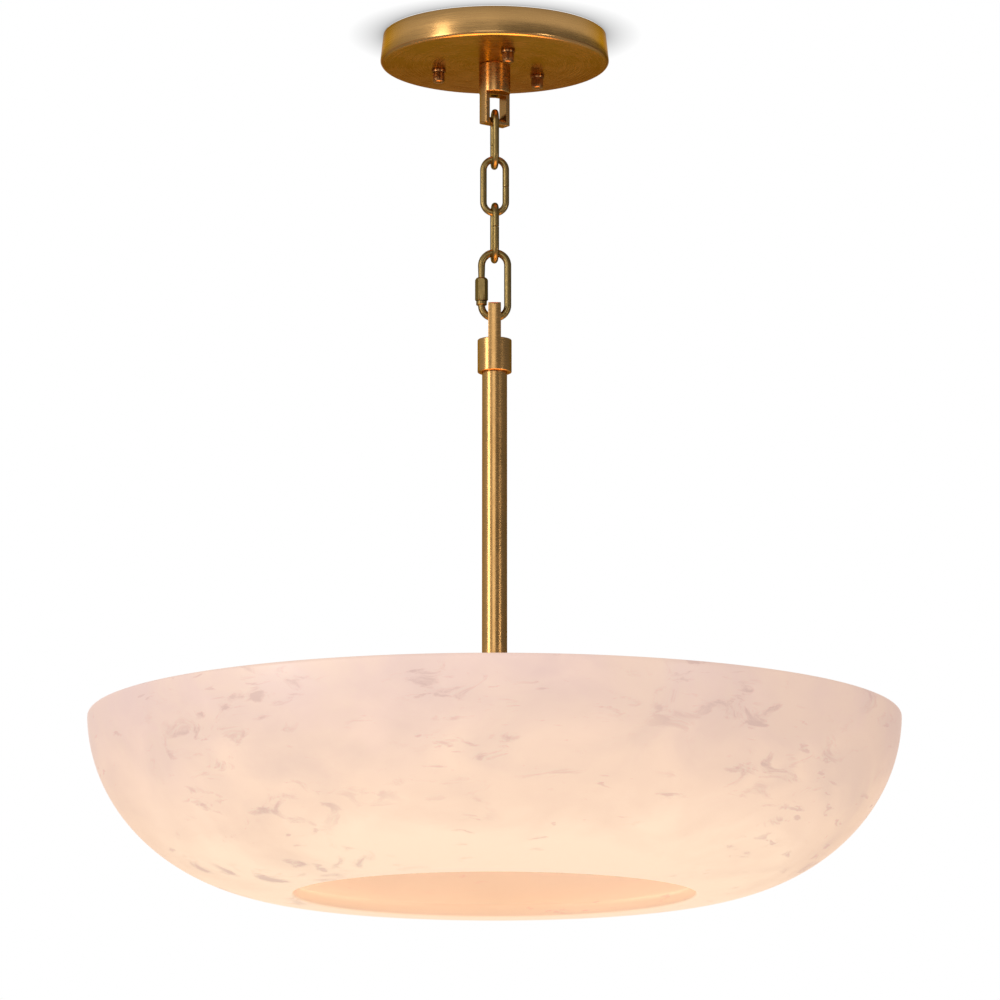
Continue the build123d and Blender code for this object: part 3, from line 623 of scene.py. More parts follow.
        board.tree.links.new(body, shader.inputs["Base Color"])
        board.tree.links.new(light, shader.inputs["Emission Color"])
        rough = board.ramp(patches, 0.3, 0.7, 0.36, 0.5)
        board.tree.links.new(rough, shader.inputs["Roughness"])
        pits = board.group(effects.pitted, {"Vector": place, "Scale": 420.0}).outputs[0]
        board.tree.links.new(board.relief(pits, 0.00002), shader.inputs["Normal"])
        shader.inputs["Emission Strength"].default_value = self.strength
        return material


@dataclass
class Palette:
    """Every finish of the pendant, by the record's name for its slot."""

    effects: Effects
    finishes: dict[str, bpy.types.Material] = field(default_factory=dict)

    def mix(self, bowl: tuple[Vector, Vector], opening: float, lamps: tuple[Vector, ...]) -> None:
        """Make all the materials.

        Args:
            bowl: lowest and highest corner of the bowl.
            opening: radius of its bottom opening, in metres.
            lamps: middle of each bulb.
        """
        low, high = bowl
        recipes = {
            "brushed_brass": MetalFinish(
                "brushed_brass",
                (0.52, 0.3, 0.11),
                (0.48, 0.27, 0.095),
                0.28,
                edge=(0.8, 0.52, 0.23),
            ),
            # Painted shade: the knurled brass is darker than the brushed brass, standing in for the
            # dark reflections in the grips' flutes.
            "knurled_brass": MetalFinish(
                "knurled_brass", (0.34, 0.18, 0.075), (0.27, 0.13, 0.05), 0.28, Grain.NONE, 2400.0
            ),
            "antique_brass": MetalFinish(
                "antique_brass",
                (0.27, 0.19, 0.07),
                (0.225, 0.152, 0.053),
                0.36,
                Grain.ALONG,
                patina_scale=50.0,
                streaks=0.08,
                edge=(0.6, 0.5, 0.25),
            ),
            "plain_brass": MetalFinish(
                "plain_brass", (0.56, 0.38, 0.16), (0.44, 0.28, 0.11), 0.3, Grain.NONE
            ),
            "zinc_steel": MetalFinish(
                "zinc_steel", (0.62, 0.63, 0.64), (0.5, 0.5, 0.49), 0.34, Grain.NONE, 700.0
            ),
            "nickel": MetalFinish("nickel", (0.66, 0.63, 0.58), (0.52, 0.49, 0.45), 0.24),
            "green_screw": PlainFinish(
                "green_screw", (0.04, 0.24, 0.07), (0.03, 0.17, 0.05), 0.35, coat=0.4
            ),
            "nylon": PlainFinish(
                "nylon", (0.82, 0.8, 0.75), (0.76, 0.74, 0.68), 0.5, seen_through=0.1
            ),
            "porcelain": PlainFinish(
                "porcelain", (0.84, 0.82, 0.77), (0.78, 0.76, 0.7), 0.2, clouds=24.0, coat=0.6
            ),
            "bulb_glass": LitGlassFinish("bulb_glass", (0.86, 0.84, 0.8), (1.0, 0.7, 0.42), 5.0),
            "alabaster": AlabasterFinish(
                "alabaster", high.z, high.z - low.z, lamps, opening, (high.x - low.x) / 2
            ),
        }
        for slot, recipe in recipes.items():
            self.finishes[slot] = recipe.make(self.effects)
            LOG.info("finish %s", slot)

    def __getitem__(self, slot: str) -> bpy.types.Material:
        """Return the finish of a slot."""
        return self.finishes[slot]


# ------------------------------------------------------------------ meshes
def rounded(corners: Sequence[tuple[float, float, float]], closed: bool, steps: int = 5) -> Profile:
    """Round the corners of a profile.

    Args:
        corners: radius, height and rounding of each corner.
        closed: whether the last corner joins the first.
        steps: how many points a rounded corner gets beyond its first.

    Returns:
        The points of the rounded profile, in order.
    """
    points: Profile = []
    count = len(corners)
    for index, (x, y, turn) in enumerate(corners):
        at_end = not closed and index in (0, count - 1)
        if turn <= 0 or at_end:
            points.append((x, y))
            continue
        here = Vector((x, y))
        back = (Vector(corners[index - 1][:2]) - here).normalized()
        ahead = (Vector(corners[(index + 1) % count][:2]) - here).normalized()
        half = back.angle(ahead) / 2
        cut = turn / math.tan(half)
        middle = here + (back + ahead).normalized() * (turn / math.sin(half))
        first = here + back * cut - middle
        last = here + ahead * cut - middle
        swing = first.angle_signed(last)
        for step in range(steps + 1):
            spoke = Matrix.Rotation(-swing * step / steps, 2) @ first
            points.append((middle.x + spoke.x, middle.y + spoke.y))
    return points


def closed_shell(name: str, points: list, faces: list) -> bpy.types.Mesh:
    """Make a mesh with its faces outwards and its round parts smooth.

    Args:
        name: the mesh's name.
        points: its corners, in metres.
        faces: corner numbers of each face.

    Returns:
        The mesh.
    """
    mesh = bpy.data.meshes.new(name)
    mesh.from_pydata(points, [], faces)
    return tidy_shell(mesh)


def tidy_shell(mesh: bpy.types.Mesh) -> bpy.types.Mesh:
    """Turn a closed mesh's faces outwards, then smooth it between its sharp edges.

    Args:
        mesh: the mesh, which is changed in place.

    Returns:
        The same mesh.
    """
    work = bmesh.new()
    work.from_mesh(mesh)
    bmesh.ops.recalc_face_normals(work, faces=work.faces)
    work.to_mesh(mesh)
    work.free()
    mesh.shade_smooth()
    mesh.set_sharp_from_angle(angle=SMOOTH_ANGLE)
    return mesh


def turned(
    name: str,
    profile: Profile,
    segments: int = 96,
    ring_shape: RingShape | None = None,
    hollow: bool = False,
) -> bpy.types.Mesh:
    """Turn a profile round the Z axis.

    Args:
        name: the mesh's name.
        profile: radius and height of each ring, in millimetres. An end at radius 0 is a pole.
        segments: how many points a ring has.
        ring_shape: gives a ring's radii from its radius, height and angles; round if left out.
        hollow: whether the last ring joins the first, as on a part with a bore.

    Returns:
        A closed mesh in metres.
    """
    angles = np.linspace(0.0, 2 * math.pi, segments, endpoint=False)
    points: list[tuple[float, float, float]] = []
    rings: list[list[int]] = []
    for radius, height in profile:
        if radius <= SAME_RADIUS:
            rings.append([len(points)])
            points.append((0.0, 0.0, height * MM))
            continue
        plain = np.full(segments, radius)
        radii = plain if ring_shape is None else ring_shape(radius, height, angles)
        rings.append(list(range(len(points), len(points) + segments)))
        sides = zip(radii * np.cos(angles) * MM, radii * np.sin(angles) * MM)
        points.extend((float(x), float(y), height * MM) for x, y in sides)
    faces: list[tuple[int, ...]] = []
    pairs = list(zip(rings, rings[1:] + ([rings[0]] if hollow else [])))
    for lower, upper in pairs:
        for step in range(segments):
            after = (step + 1) % segments
            if len(lower) == 1:
                faces.append((lower[0], upper[step], upper[after]))
            elif len(upper) == 1:
                faces.append((lower[step], lower[after], upper[0]))
            else:
                faces.append((lower[step], lower[after], upper[after], upper[step]))
    return closed_shell(name, points, faces)


def azimuth_turn(azimuth: float) -> Matrix:
    """Turn about the Z axis by an azimuth in degrees."""
    return Matrix.Rotation(math.radians(azimuth), 4, "Z")


def lying_along(azimuth: float, start: float, height: float) -> Matrix:
    """Placing that lays a Z axis outwards along an azimuth.

    Args:
        azimuth: direction in degrees from +X towards +Y.
        start: distance of the origin from the middle axis, in metres.
        height: level of the axis, in metres.

    Returns:
        The placing.
    """
    tip = Matrix.Rotation(math.pi / 2, 4, "Y")
    return azimuth_turn(azimuth) @ Matrix.Translation((start, 0, height)) @ tip


def hexagon(across_flats: float) -> RingShape:
    """Ring shape of a hexagon whose corners are cut by the ring's own radius.

    Args:
        across_flats: the hexagon's size in millimetres.

    Returns:
        The ring shape.
    """

    def shape(radius: float, height: float, angles: np.ndarray) -> np.ndarray:
        """Radii of one ring: the hexagon, or the ring where that is smaller.

        Args:
            radius: the ring's own radius.
            height: its level, which makes no difference here.
            angles: where the radii are wanted.

        Returns:
            One radius for each angle.
        """
        sixth = math.pi / 3
        off = np.mod(angles, sixth) - sixth / 2
        return np.minimum(across_flats / 2 / np.cos(off), radius)

    return shape


def hang_piece(
    name: str,
    mesh: bpy.types.Mesh,
    body: str,
    slot: str,
    nodes: Sequence[str],
    palette: Palette,
) -> bpy.types.Object:
    """Put a finished mesh on its body in place of its CAD nodes.

    Args:
        name: the piece's name.
        mesh: the mesh, already in its place.
        body: the CAD body that it moves with.
        slot: the record's slot of its finish.
        nodes: the CAD nodes that it stands for.
        palette: the finishes.

    Returns:
        The piece.
    """
    mesh.materials.clear()
    mesh.materials.append(palette[slot])
    piece = bpy.data.objects.new(name, mesh)
    bpy.context.scene.collection.objects.link(piece)
    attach(piece, body)
    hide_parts(*nodes)
    faces = len(mesh.polygons)
    LOG.info("piece %s on %s, %d faces, for %s", name, body, faces, ", ".join(nodes))
    return piece


# ------------------------------------------------------------------ Geometry Nodes
@dataclass
class RepeatTools:
    """Geometry Nodes trees for bent wire and for sets of like fasteners."""

    wire: bpy.types.NodeTree = field(init=False)
    fasteners: bpy.types.NodeTree = field(init=False)
    wire_sides: int = 28

    def __post_init__(self) -> None:
        """Build each tree once."""
        self.wire = self.bent_wire()
        self.fasteners = self.fastener_set()

    @staticmethod
    def start_tree(name: str, sizes: dict[str, str]) -> tuple[NodeBoard, bpy.types.Node]:
        """Start a Geometry Nodes tree.

        Args:
            name: name of the tree.
            sizes: names of its inputs and the type of each socket.

        Returns:
            A board on the tree, and its Group Input node.
        """
        tree = bpy.data.node_groups.new(name, "GeometryNodeTree")
        sockets = {"Geometry": "NodeSocketGeometry", **sizes, "Finish": "NodeSocketMaterial"}
        for label, kind in sockets.items():
            tree.interface.new_socket(label, in_out="INPUT", socket_type=kind)
        tree.interface.new_socket("Geometry", in_out="OUTPUT", socket_type="NodeSocketGeometry")
        board = NodeBoard(tree)
        return board, board.add("NodeGroupInput")

    @staticmethod
    def end_tree(board: NodeBoard, start: bpy.types.Node, made: bpy.types.NodeSocket) -> None:
        """Close a tree with Realize Instances and Set Material.

        Args:
            board: the tree's board.
            start: its Group Input node.
            made: the geometry to put out.
        """
        real = board.add("GeometryNodeRealizeInstances", {"Geometry": made}).outputs["Geometry"]
        feeds = {"Geometry": real, "Material": start.outputs["Finish"]}
        dressed = board.add("GeometryNodeSetMaterial", feeds).outputs["Geometry"]
        board.add("NodeGroupOutput", {"Geometry": dressed})

    @classmethod
    def bent_wire(cls) -> bpy.types.NodeTree:
        """Round wire along the host's edges, thicker or thinner by its swell attribute.

        Returns:
            The tree.
        """
        sizes = {"Wire Radius": "NodeSocketFloat", "Sides": "NodeSocketInt"}
        board, start = cls.start_tree("bent_wire", sizes)
        path = board.add("GeometryNodeMeshToCurve", {"Mesh": start.outputs["Geometry"]})
        swell = board.add("GeometryNodeInputNamedAttribute", {"Name": "swell"}, data_type="FLOAT")
        feeds = {"Resolution": start.outputs["Sides"], "Radius": start.outputs["Wire Radius"]}
        ring = board.add("GeometryNodeCurvePrimitiveCircle", feeds, mode="RADIUS")
        feeds = {
            "Curve": path.outputs["Curve"],
            "Profile Curve": ring.outputs["Curve"],
            "Scale": swell.outputs["Attribute"],
            "Fill Caps": True,
        }
        skin = board.add("GeometryNodeCurveToMesh", feeds)
        cls.end_tree(board, start, skin.outputs["Mesh"])
        return board.tree

    @classmethod
    def fastener_set(cls) -> bpy.types.NodeTree:
        """One fastener at each of the host's points, its axis along the facing attribute.

        Returns:
            The tree.
        """
        sizes = {"Fastener": "NodeSocketObject", "Scale": "NodeSocketFloat"}
        board, start = cls.start_tree("fastener_set", sizes)
        shape = board.add("GeometryNodeObjectInfo", {"Object": start.outputs["Fastener"]})
        facing = board.add(
            "GeometryNodeInputNamedAttribute", {"Name": "facing"}, data_type="FLOAT_VECTOR"
        )
        feeds = {"Vector": facing.outputs["Attribute"]}
        turn = board.add("FunctionNodeAlignRotationToVector", feeds, axis="Z")
        feeds = {
            "Points": start.outputs["Geometry"],
            "Instance": shape.outputs["Geometry"],
            "Rotation": turn.outputs["Rotation"],
            "Scale": start.outputs["Scale"],
        }
        spread = board.add("GeometryNodeInstanceOnPoints", feeds)
        cls.end_tree(board, start, spread.outputs["Instances"])
        return board.tree

    @staticmethod
    def run(
        name: str, host: bpy.types.Mesh, tree: bpy.types.NodeTree, inputs: dict
    ) -> bpy.types.Mesh:
        """Run a tree on a host mesh and keep the plain result.

        Args:
            name: name of the mesh that comes out.
            host: the mesh that the tree starts from.
            tree: the Geometry Nodes tree.
            inputs: values of its named inputs.

        Returns:
            The finished mesh.
        """
        carrier = bpy.data.objects.new(name + "_host", host)
        bpy.context.scene.collection.objects.link(carrier)
        modifier = carrier.modifiers.new(tree.name, "NODES")
        modifier.node_group = tree
        for socket in tree.interface.items_tree:
            if getattr(socket, "in_out", "") == "INPUT" and socket.name in inputs:
                modifier[socket.identifier] = inputs[socket.name]
        bpy.context.view_layer.update()
        ready = carrier.evaluated_get(bpy.context.evaluated_depsgraph_get())
        mesh = bpy.data.meshes.new_from_object(ready)
        mesh.name = name
        carrier.modifiers.remove(modifier)
        bpy.data.objects.remove(carrier)
        for attribute in [a for a in mesh.attributes if a.name in ("swell", "facing")]:
            mesh.attributes.remove(attribute)
        return tidy_shell(mesh)

    def wire_mesh(
        self,
        name: str,
        path: list[Vector],
        swell: list[float],
        radius: float,
        finish: bpy.types.Material,
    ) -> bpy.types.Mesh:
        """Bend a wire along a path.

        Args:
            name: name of the mesh.
            path: points of the wire's middle line, in metres.
            swell: thickness at each point, as a share of the radius.
            radius: the wire's radius in millimetres.
            finish: its material.

        Returns:
            The wire's mesh.
        """
        host = bpy.data.meshes.new(name + "_path")
        edges = [(start, start + 1) for start in range(len(path) - 1)]
        host.from_pydata([tuple(point) for point in path], edges, [])
        host.attributes.new("swell", "FLOAT", "POINT").data.foreach_set("value", swell)
        inputs = {"Wire Radius": radius * MM, "Sides": self.wire_sides, "Finish": finish}
        return self.run(name, host, self.wire, inputs)

    def fastener_mesh(
        self,
        name: str,
        shape: bpy.types.Mesh,
        seats: list[tuple[Vector, Vector]],
        finish: bpy.types.Material,
    ) -> bpy.types.Mesh:
        """Set one fastener in each seat.

        Args:
            name: name of the mesh.
            shape: the fastener, its head towards +Z.
            seats: the point and direction of each one, in metres.
            finish: its material.

        Returns:
            One mesh with all the fasteners.
        """
        sample = bpy.data.objects.new(name + "_sample", shape)
        bpy.context.scene.collection.objects.link(sample)
        host = bpy.data.meshes.new(name + "_seats")
        host.from_pydata([tuple(point) for point, _ in seats], [], [])
        ways = [part for _, way in seats for part in way.normalized()]
        host.attributes.new("facing", "FLOAT_VECTOR", "POINT").data.foreach_set("vector", ways)
        inputs = {"Fastener": sample, "Scale": 1.0, "Finish": finish}
        mesh = self.run(name, host, self.fasteners, inputs)
        bpy.data.objects.remove(sample)
        return mesh


@dataclass(frozen=True)
class ButtonScrew:
    """Button-head screw with a six-sided recess, its sizes in millimetres."""

    head: float
    height: float
    shank: float
    length: float
    recess_share: float = 0.42
    segments: int = 24

    def mesh(self) -> bpy.types.Mesh:
        """Turn the screw, its head seat at the origin and its head towards +Z.

        Returns:
            The screw's mesh.
        """
        head, height, shank = self.head, self.height, self.shank
        key = head * self.recess_share
        profile: Profile = [(0.0, height * 0.45), (key, height * 0.45), (key, height * 0.96)]
        for step in range(7):
            turn = math.radians(8 + 72 * step / 6)
            level = height * (0.25 + 0.75 * math.cos(turn))
            profile.append((head * math.sin(turn) ** 0.8, level))
        profile += [(head, height * 0.2), (head * 0.97, 0.0), (shank, 0.0)]
        profile += [(shank, -self.length), (0.0, -self.length)]
        recess = hexagon(2 * key * math.cos(math.pi / 6))

        def shape(radius: float, at: float, angles: np.ndarray) -> np.ndarray:
            """Six-sided inside the recess, round outside it.

            Args:
                radius: the ring's own radius.
                at: its level.
                angles: where the radii are wanted.

            Returns:
                One radius for each angle.
            """
            round_ring = np.full(len(angles), radius)
            return recess(radius, at, angles) if abs(radius - key) < SAME_RADIUS else round_ring

        return turned("button_screw", profile, self.segments, shape)


def threaded(radius: float, depth: float, pitch: float) -> RingShape:
    """Ring shape of a screw thread cut into a rod.

    Args:
        radius: the thread's outer radius, in millimetres.
        depth: how deep it is cut.
        pitch: travel for one turn.

    Returns:
        The ring shape; rings much smaller than the rod stay round.
    """

    def shape(ring: float, height: float, angles: np.ndarray) -> np.ndarray:
        """Radii of one ring, cut by the thread where it is at full radius.

        Args:
            ring: the ring's own radius.
            height: its level.
            angles: where the radii are wanted.

        Returns:
            One radius for each angle.
        """
        if abs(ring - radius) > SAME_RADIUS:
            return np.full(len(angles), ring)
        phase = np.mod(height / pitch - angles / (2 * math.pi), 1.0)
        return ring - depth * np.abs(np.sin(math.pi * phase)) ** 1.5

    return shape


def levels(low: float, high: float, step: float) -> list[float]:
    """Even heights from low to high, about step apart."""
    count = max(1, round(abs(high - low) / step))
    return [low + (high - low) * index / count for index in range(count + 1)]


# ------------------------------------------------------------------ ceiling fixture
@dataclass
class CeilingFixture:
    """Canopy, thumb nuts and the plate's studs."""

    palette: Palette
    tools: RepeatTools
    bottom_radius: float = 88.0
    top_radius: float = 85.5
    height: float = 23.0
    wall: float = 2.5
    edge: float = 3.0
    collar_radius: float = 5.4
    collar_height: float = 2.4
    grip_radius: float = 4.6
    grip_height: float = 6.6
    dome_height: float = 1.4
    flutes: int = 22
    flute_depth: float = 0.45
    stud_radius: float = 2.5
    stud_pitch: float = 0.8
    stud_thread_depth: float = 0.3
    stud_chamfer: float = 0.4
    canopy_segments: int = 256
    stud_segments: int = 20
    knobs: dict[str, str] = field(
        default_factory=lambda: {
            "canopy_knob_left": "knob_left",
            "canopy_knob_right": "knob_right",
            "canopy_knob_front": "knob_front",
        }
    )

    def canopy_mesh(self) -> bpy.types.Mesh:
        """Spun pan, open towards the ceiling, with a rolled lower edge.

        Returns:
            The canopy's mesh in place.
        """
        floor = self.wall - self.height
        corners = [
            (0.0, -self.height, 0.0),
            (self.bottom_radius, -self.height, self.edge),
            (self.top_radius, 0.0, 0.5),
            (self.top_radius - self.wall, 0.0, 0.5),
            (self.bottom_radius - self.wall, floor, 1.2),
            (0.0, floor, 0.0),
        ]
        return turned("canopy_pan", rounded(corners, False, 8), self.canopy_segments)

    def fluted(self, radius: float, height: float, angles: np.ndarray) -> np.ndarray:
        """Radii of a grip ring with its flutes, and of a plain ring elsewhere.

        Args:
            radius: the ring's own radius.
            height: its level, which makes no difference here.
            angles: where the radii are wanted.

        Returns:
            One radius for each angle.
        """
        if abs(radius - self.grip_radius) > 0.02:
            return np.full(len(angles), radius)
        wave = 0.5 + 0.5 * np.cos(angles * self.flutes)
        return radius - self.flute_depth * wave**3

    def knob_mesh(self, centre: Vector, top: float) -> bpy.types.Mesh:
        """Thumb nut with a wide plain collar, a fluted grip and a domed end.

        Args:
            centre: the nut's axis, in metres.
            top: level of its seat, in metres.

        Returns:
            The nut's mesh in place.
        """
        collar, grip = self.collar_radius, self.grip_radius
        neck = -self.collar_height
        end = neck - self.grip_height
        profile: Profile = [(0.0, 0.0), (collar - 0.3, 0.0), (collar, -0.3), (collar, neck + 0.4)]
        profile += [(collar - 0.12, neck + 0.12), (collar - 0.4, neck), (grip - 0.55, neck)]
        profile += [(grip - 0.55, neck - 0.3), (grip, neck - 0.6)]
        profile += [(grip, height) for height in levels(neck - 0.9, end + 0.7, 1.2)]
        profile += [(grip - 0.15, end + 0.35), (grip - 0.3, end + 0.3)]
        for step in range(7):
            turn = math.radians(90 * step / 6)
            profile.append(((grip - 0.3) * math.cos(turn), end - self.dome_height * math.sin(turn)))
        profile[-1] = (0.0, end - self.dome_height)
        mesh = turned("thumb_nut", profile, self.flutes * 8, self.fluted)
        mesh.transform(Matrix.Translation((centre.x, centre.y, top)))
        return mesh

    def stud_mesh(self, middles: list[Vector], low: float) -> bpy.types.Mesh:
        """Threaded studs down from the ceiling plate.

        Args:
            middles: the studs' axes.
            low: level of their lower ends, in metres.

        Returns:
            One mesh of all the studs.
        """
        length = -low / MM
        chamfer = self.stud_chamfer
        heights = levels(-chamfer, chamfer - length, self.stud_pitch / 4)
        profile: Profile = [(0.0, 0.0), (self.stud_radius - chamfer, 0.0)]
        profile += [(self.stud_radius, height) for height in heights]
        profile += [(self.stud_radius - chamfer, -length), (0.0, -length)]
        shape = threaded(self.stud_radius, self.stud_thread_depth, self.stud_pitch)
        rod = turned("stud", profile, self.stud_segments, shape)
        up = Vector((0, 0, 1))
        seats = [(Vector((middle.x, middle.y, 0.0)), up) for middle in middles]
        return self.tools.fastener_mesh("threaded_studs", rod, seats, self.palette["zinc_steel"])

    def build(self) -> None:
        """Build and hang the canopy, its thumb nuts and the studs."""
        body = "ceiling_fixture"
        pan = self.canopy_mesh()
        hang_piece("canopy_pan", pan, body, "brushed_brass", ["canopy"], self.palette)
        middles = []
        for node, knob in self.knobs.items():
            low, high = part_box(node)
            centre = (low + high) / 2
            middles.append(centre)
            nut = self.knob_mesh(centre, high.z)
            name = node.replace("canopy_knob", "thumb_nut")
            hang_piece(name, nut, knob, "knurled_brass", [node], self.palette)
        stud_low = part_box("mounting_studs")[0].z
        studs = self.stud_mesh(middles, stud_low)
        hang_piece("threaded_studs", studs, body, "zinc_steel", ["mounting_studs"], self.palette)


# ------------------------------------------------------------------ chain and screw link
class Leg(Enum):
    """Side of a link that its joint is on."""

    LEFT = -1
    RIGHT = 1


@dataclass
class WireLink:
    """Long link bent from round wire, its two ends facing each other in one leg."""

    width: float
    length: float
    wire: float
    leg: Leg
    joint_height: float
    joint_gap: float
    bow_steps: int = 22

    def path(self) -> list[Vector]:
        """Middle line of the wire, from above its joint round to below it.

        Returns:
            The points of the line, in metres.
        """
        reach = self.width / 2 - self.wire
        straight = (self.length - self.width) / 2
        side = float(self.leg.value)
        points = [Vector((side * reach, 0, self.joint_height + self.joint_gap / 2))]
        for way in (1.0, -1.0):
            for step in range(self.bow_steps + 1):
                turn = math.pi * step / self.bow_steps
                across = way * side * reach * math.cos(turn)
                points.append(Vector((across, 0, way * (straight + reach * math.sin(turn)))))
        points.append(Vector((side * reach, 0, self.joint_height - self.joint_gap / 2)))
        return [point * MM for point in points]


@dataclass
class HangingChain:
    """Three chain links and the screw link under them."""

    palette: Palette
    tools: RepeatTools
    slot: str = "antique_brass"
    link_width: float = 22.2
    link_length: float = 47.3
    wire: float = 2.55
    joint_gap: float = 0.35
    joint_bevel: float = 0.2
    joint_share: float = 0.95
    screw_width: float = 25.4
    screw_length: float = 56.5
    screw_wire: float = 2.75
    shoulder_radius: float = 4.1
    shoulder_height: float = 3.2
    stub: float = 1.5
    mouth: float = 6.8
    thread_length: float = 9.0
    thread_pitch: float = 0.9
    sleeve_flats: float = 8.6
    sleeve_chamfer: float = 0.7
    nose_length: float = 2.6
    nose_radius: float = 3.5
    nose_bulge: float = 0.35
    sleeve_bore: float = 2.8
    links: dict[str, tuple[str, float, Leg, float]] = field(
        default_factory=lambda: {
            "chain_link_upper": ("chain_upper", 96.0, Leg.RIGHT, -3.0),
            "chain_link_middle": ("chain_middle", 0.0, Leg.RIGHT, -1.0),
            "chain_link_lower": ("chain_lower", 96.0, Leg.LEFT, 3.0),
        }
    )

    def link_mesh(self, node: str, azimuth: float, leg: Leg, joint_height: float) -> bpy.types.Mesh:
        """Bend one chain link in its place.

        Args:
            node: the CAD node that it stands for.
            azimuth: which way the link faces.
            leg: the leg with the joint.
            joint_height: height of the joint above the link's middle.

        Returns:
            The link's mesh.
        """
        link = WireLink(
            self.link_width, self.link_length, self.wire, leg, joint_height, self.joint_gap
        )
        path = link.path()
        back = Vector((0, 0, self.joint_bevel * MM))
        path = [path[0], path[0] + back, *path[1:-1], path[-1] - back, path[-1]]
        swell = [self.joint_share, *[1.0] * (len(path) - 2), self.joint_share]
        mesh = self.tools.wire_mesh(node, path, swell, self.wire, self.palette[self.slot])
        low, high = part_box(node)
        middle = Vector((0, 0, (low.z + high.z) / 2))
        mesh.transform(Matrix.Translation(middle) @ azimuth_turn(azimuth))
        return mesh

    def screw_link_mesh(self) -> bpy.types.Mesh:
        """Open link with a shoulder and stub below its mouth and a thread above it.

        Returns:
            The link's mesh in place.
        """
        straight = (self.screw_length - self.screw_width) / 2
        shoulder_top = self.shoulder_height - straight
        mouth_low = shoulder_top + self.stub
        mouth_high = mouth_low + self.mouth
        link = WireLink(
            self.screw_width,
            self.screw_length,
            self.screw_wire,
            Leg.LEFT,
            (mouth_low + mouth_high) / 2,
            self.mouth,
        )
        bent = link.path()
        leg_x = bent[0].x
        full = self.shoulder_radius / self.screw_wire
        path: list[Vector] = []
        swell: list[float] = []
        thread_top = mouth_high + self.thread_length
        for index, height in enumerate(levels(mouth_high, thread_top, self.thread_pitch / 2)):
            path.append(Vector((leg_x, 0, height * MM)))
            swell.append(0.9 if index % 2 == 0 else 1.0)
        path += bent[1:-1]
        swell += [1.0] * (len(bent) - 2)
        low_leg = [
            (-straight + 0.02, 1.0),
            (-straight + 0.05, full * 0.92),
            (-straight + 0.4, full),
            (shoulder_top - 0.4, full),
            (shoulder_top - 0.05, full * 0.92),
            (shoulder_top, 0.92),
            (mouth_low - 0.3, 0.92),
            (mouth_low, 0.8),
        ]
        for height, share in low_leg:
            path.append(Vector((leg_x, 0, height * MM)))
            swell.append(share)
        mesh = self.tools.wire_mesh(
            "screw_link", path, swell, self.screw_wire, self.palette[self.slot]
        )
        low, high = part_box("quick_link_body")
        mesh.transform(Matrix.Translation((0, 0, (low.z + high.z) / 2)))
        return mesh

    def sleeve_mesh(self) -> bpy.types.Mesh:
        """Long hexagon nut, chamfered below and turned down to a rounded nose above.

        Returns:
            The sleeve's mesh in place.
        """
        low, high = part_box("quick_link_sleeve")
        length = (high.z - low.z) / MM
        corner = self.sleeve_flats / 2 / math.cos(math.pi / 6)
        bore = self.sleeve_bore
        profile: Profile = [(bore, 0.35), (bore + 0.35, 0.0), (corner - self.sleeve_chamfer, 0.0)]
        profile += [(corner, self.sleeve_chamfer), (corner, length / 2)]
        for step in range(9):
            share = step / 8
            bulge = 4 * share * (1 - share) * self.nose_bulge
            radius = corner + (self.nose_radius - corner) * share + bulge
            profile.append((radius, length - self.nose_length * (1 - share) + bulge * 0.5))
        profile[-1] = (self.nose_radius, length)
        profile += [(bore + 0.25, length), (bore, length - 0.25)]
        mesh = turned("screw_sleeve", profile, 72, hexagon(self.sleeve_flats), hollow=True)
        middle = (low + high) / 2
        mesh.transform(Matrix.Translation((middle.x, middle.y, low.z)))
        return mesh

    def build(self) -> None:
        """Build and hang the links and the sleeve."""
        for node, (body, azimuth, leg, joint_height) in self.links.items():
            mesh = self.link_mesh(node, azimuth, leg, joint_height)
            name = node.replace("chain_link", "bent_link")
            hang_piece(name, mesh, body, self.slot, [node], self.palette)
        link = self.screw_link_mesh()
        hang_piece("screw_link", link, "screw_link", self.slot, ["quick_link_body"], self.palette)
        sleeve = self.sleeve_mesh()
        nodes = ["quick_link_sleeve"]
        hang_piece("screw_sleeve", sleeve, "screw_link_sleeve", self.slot, nodes, self.palette)


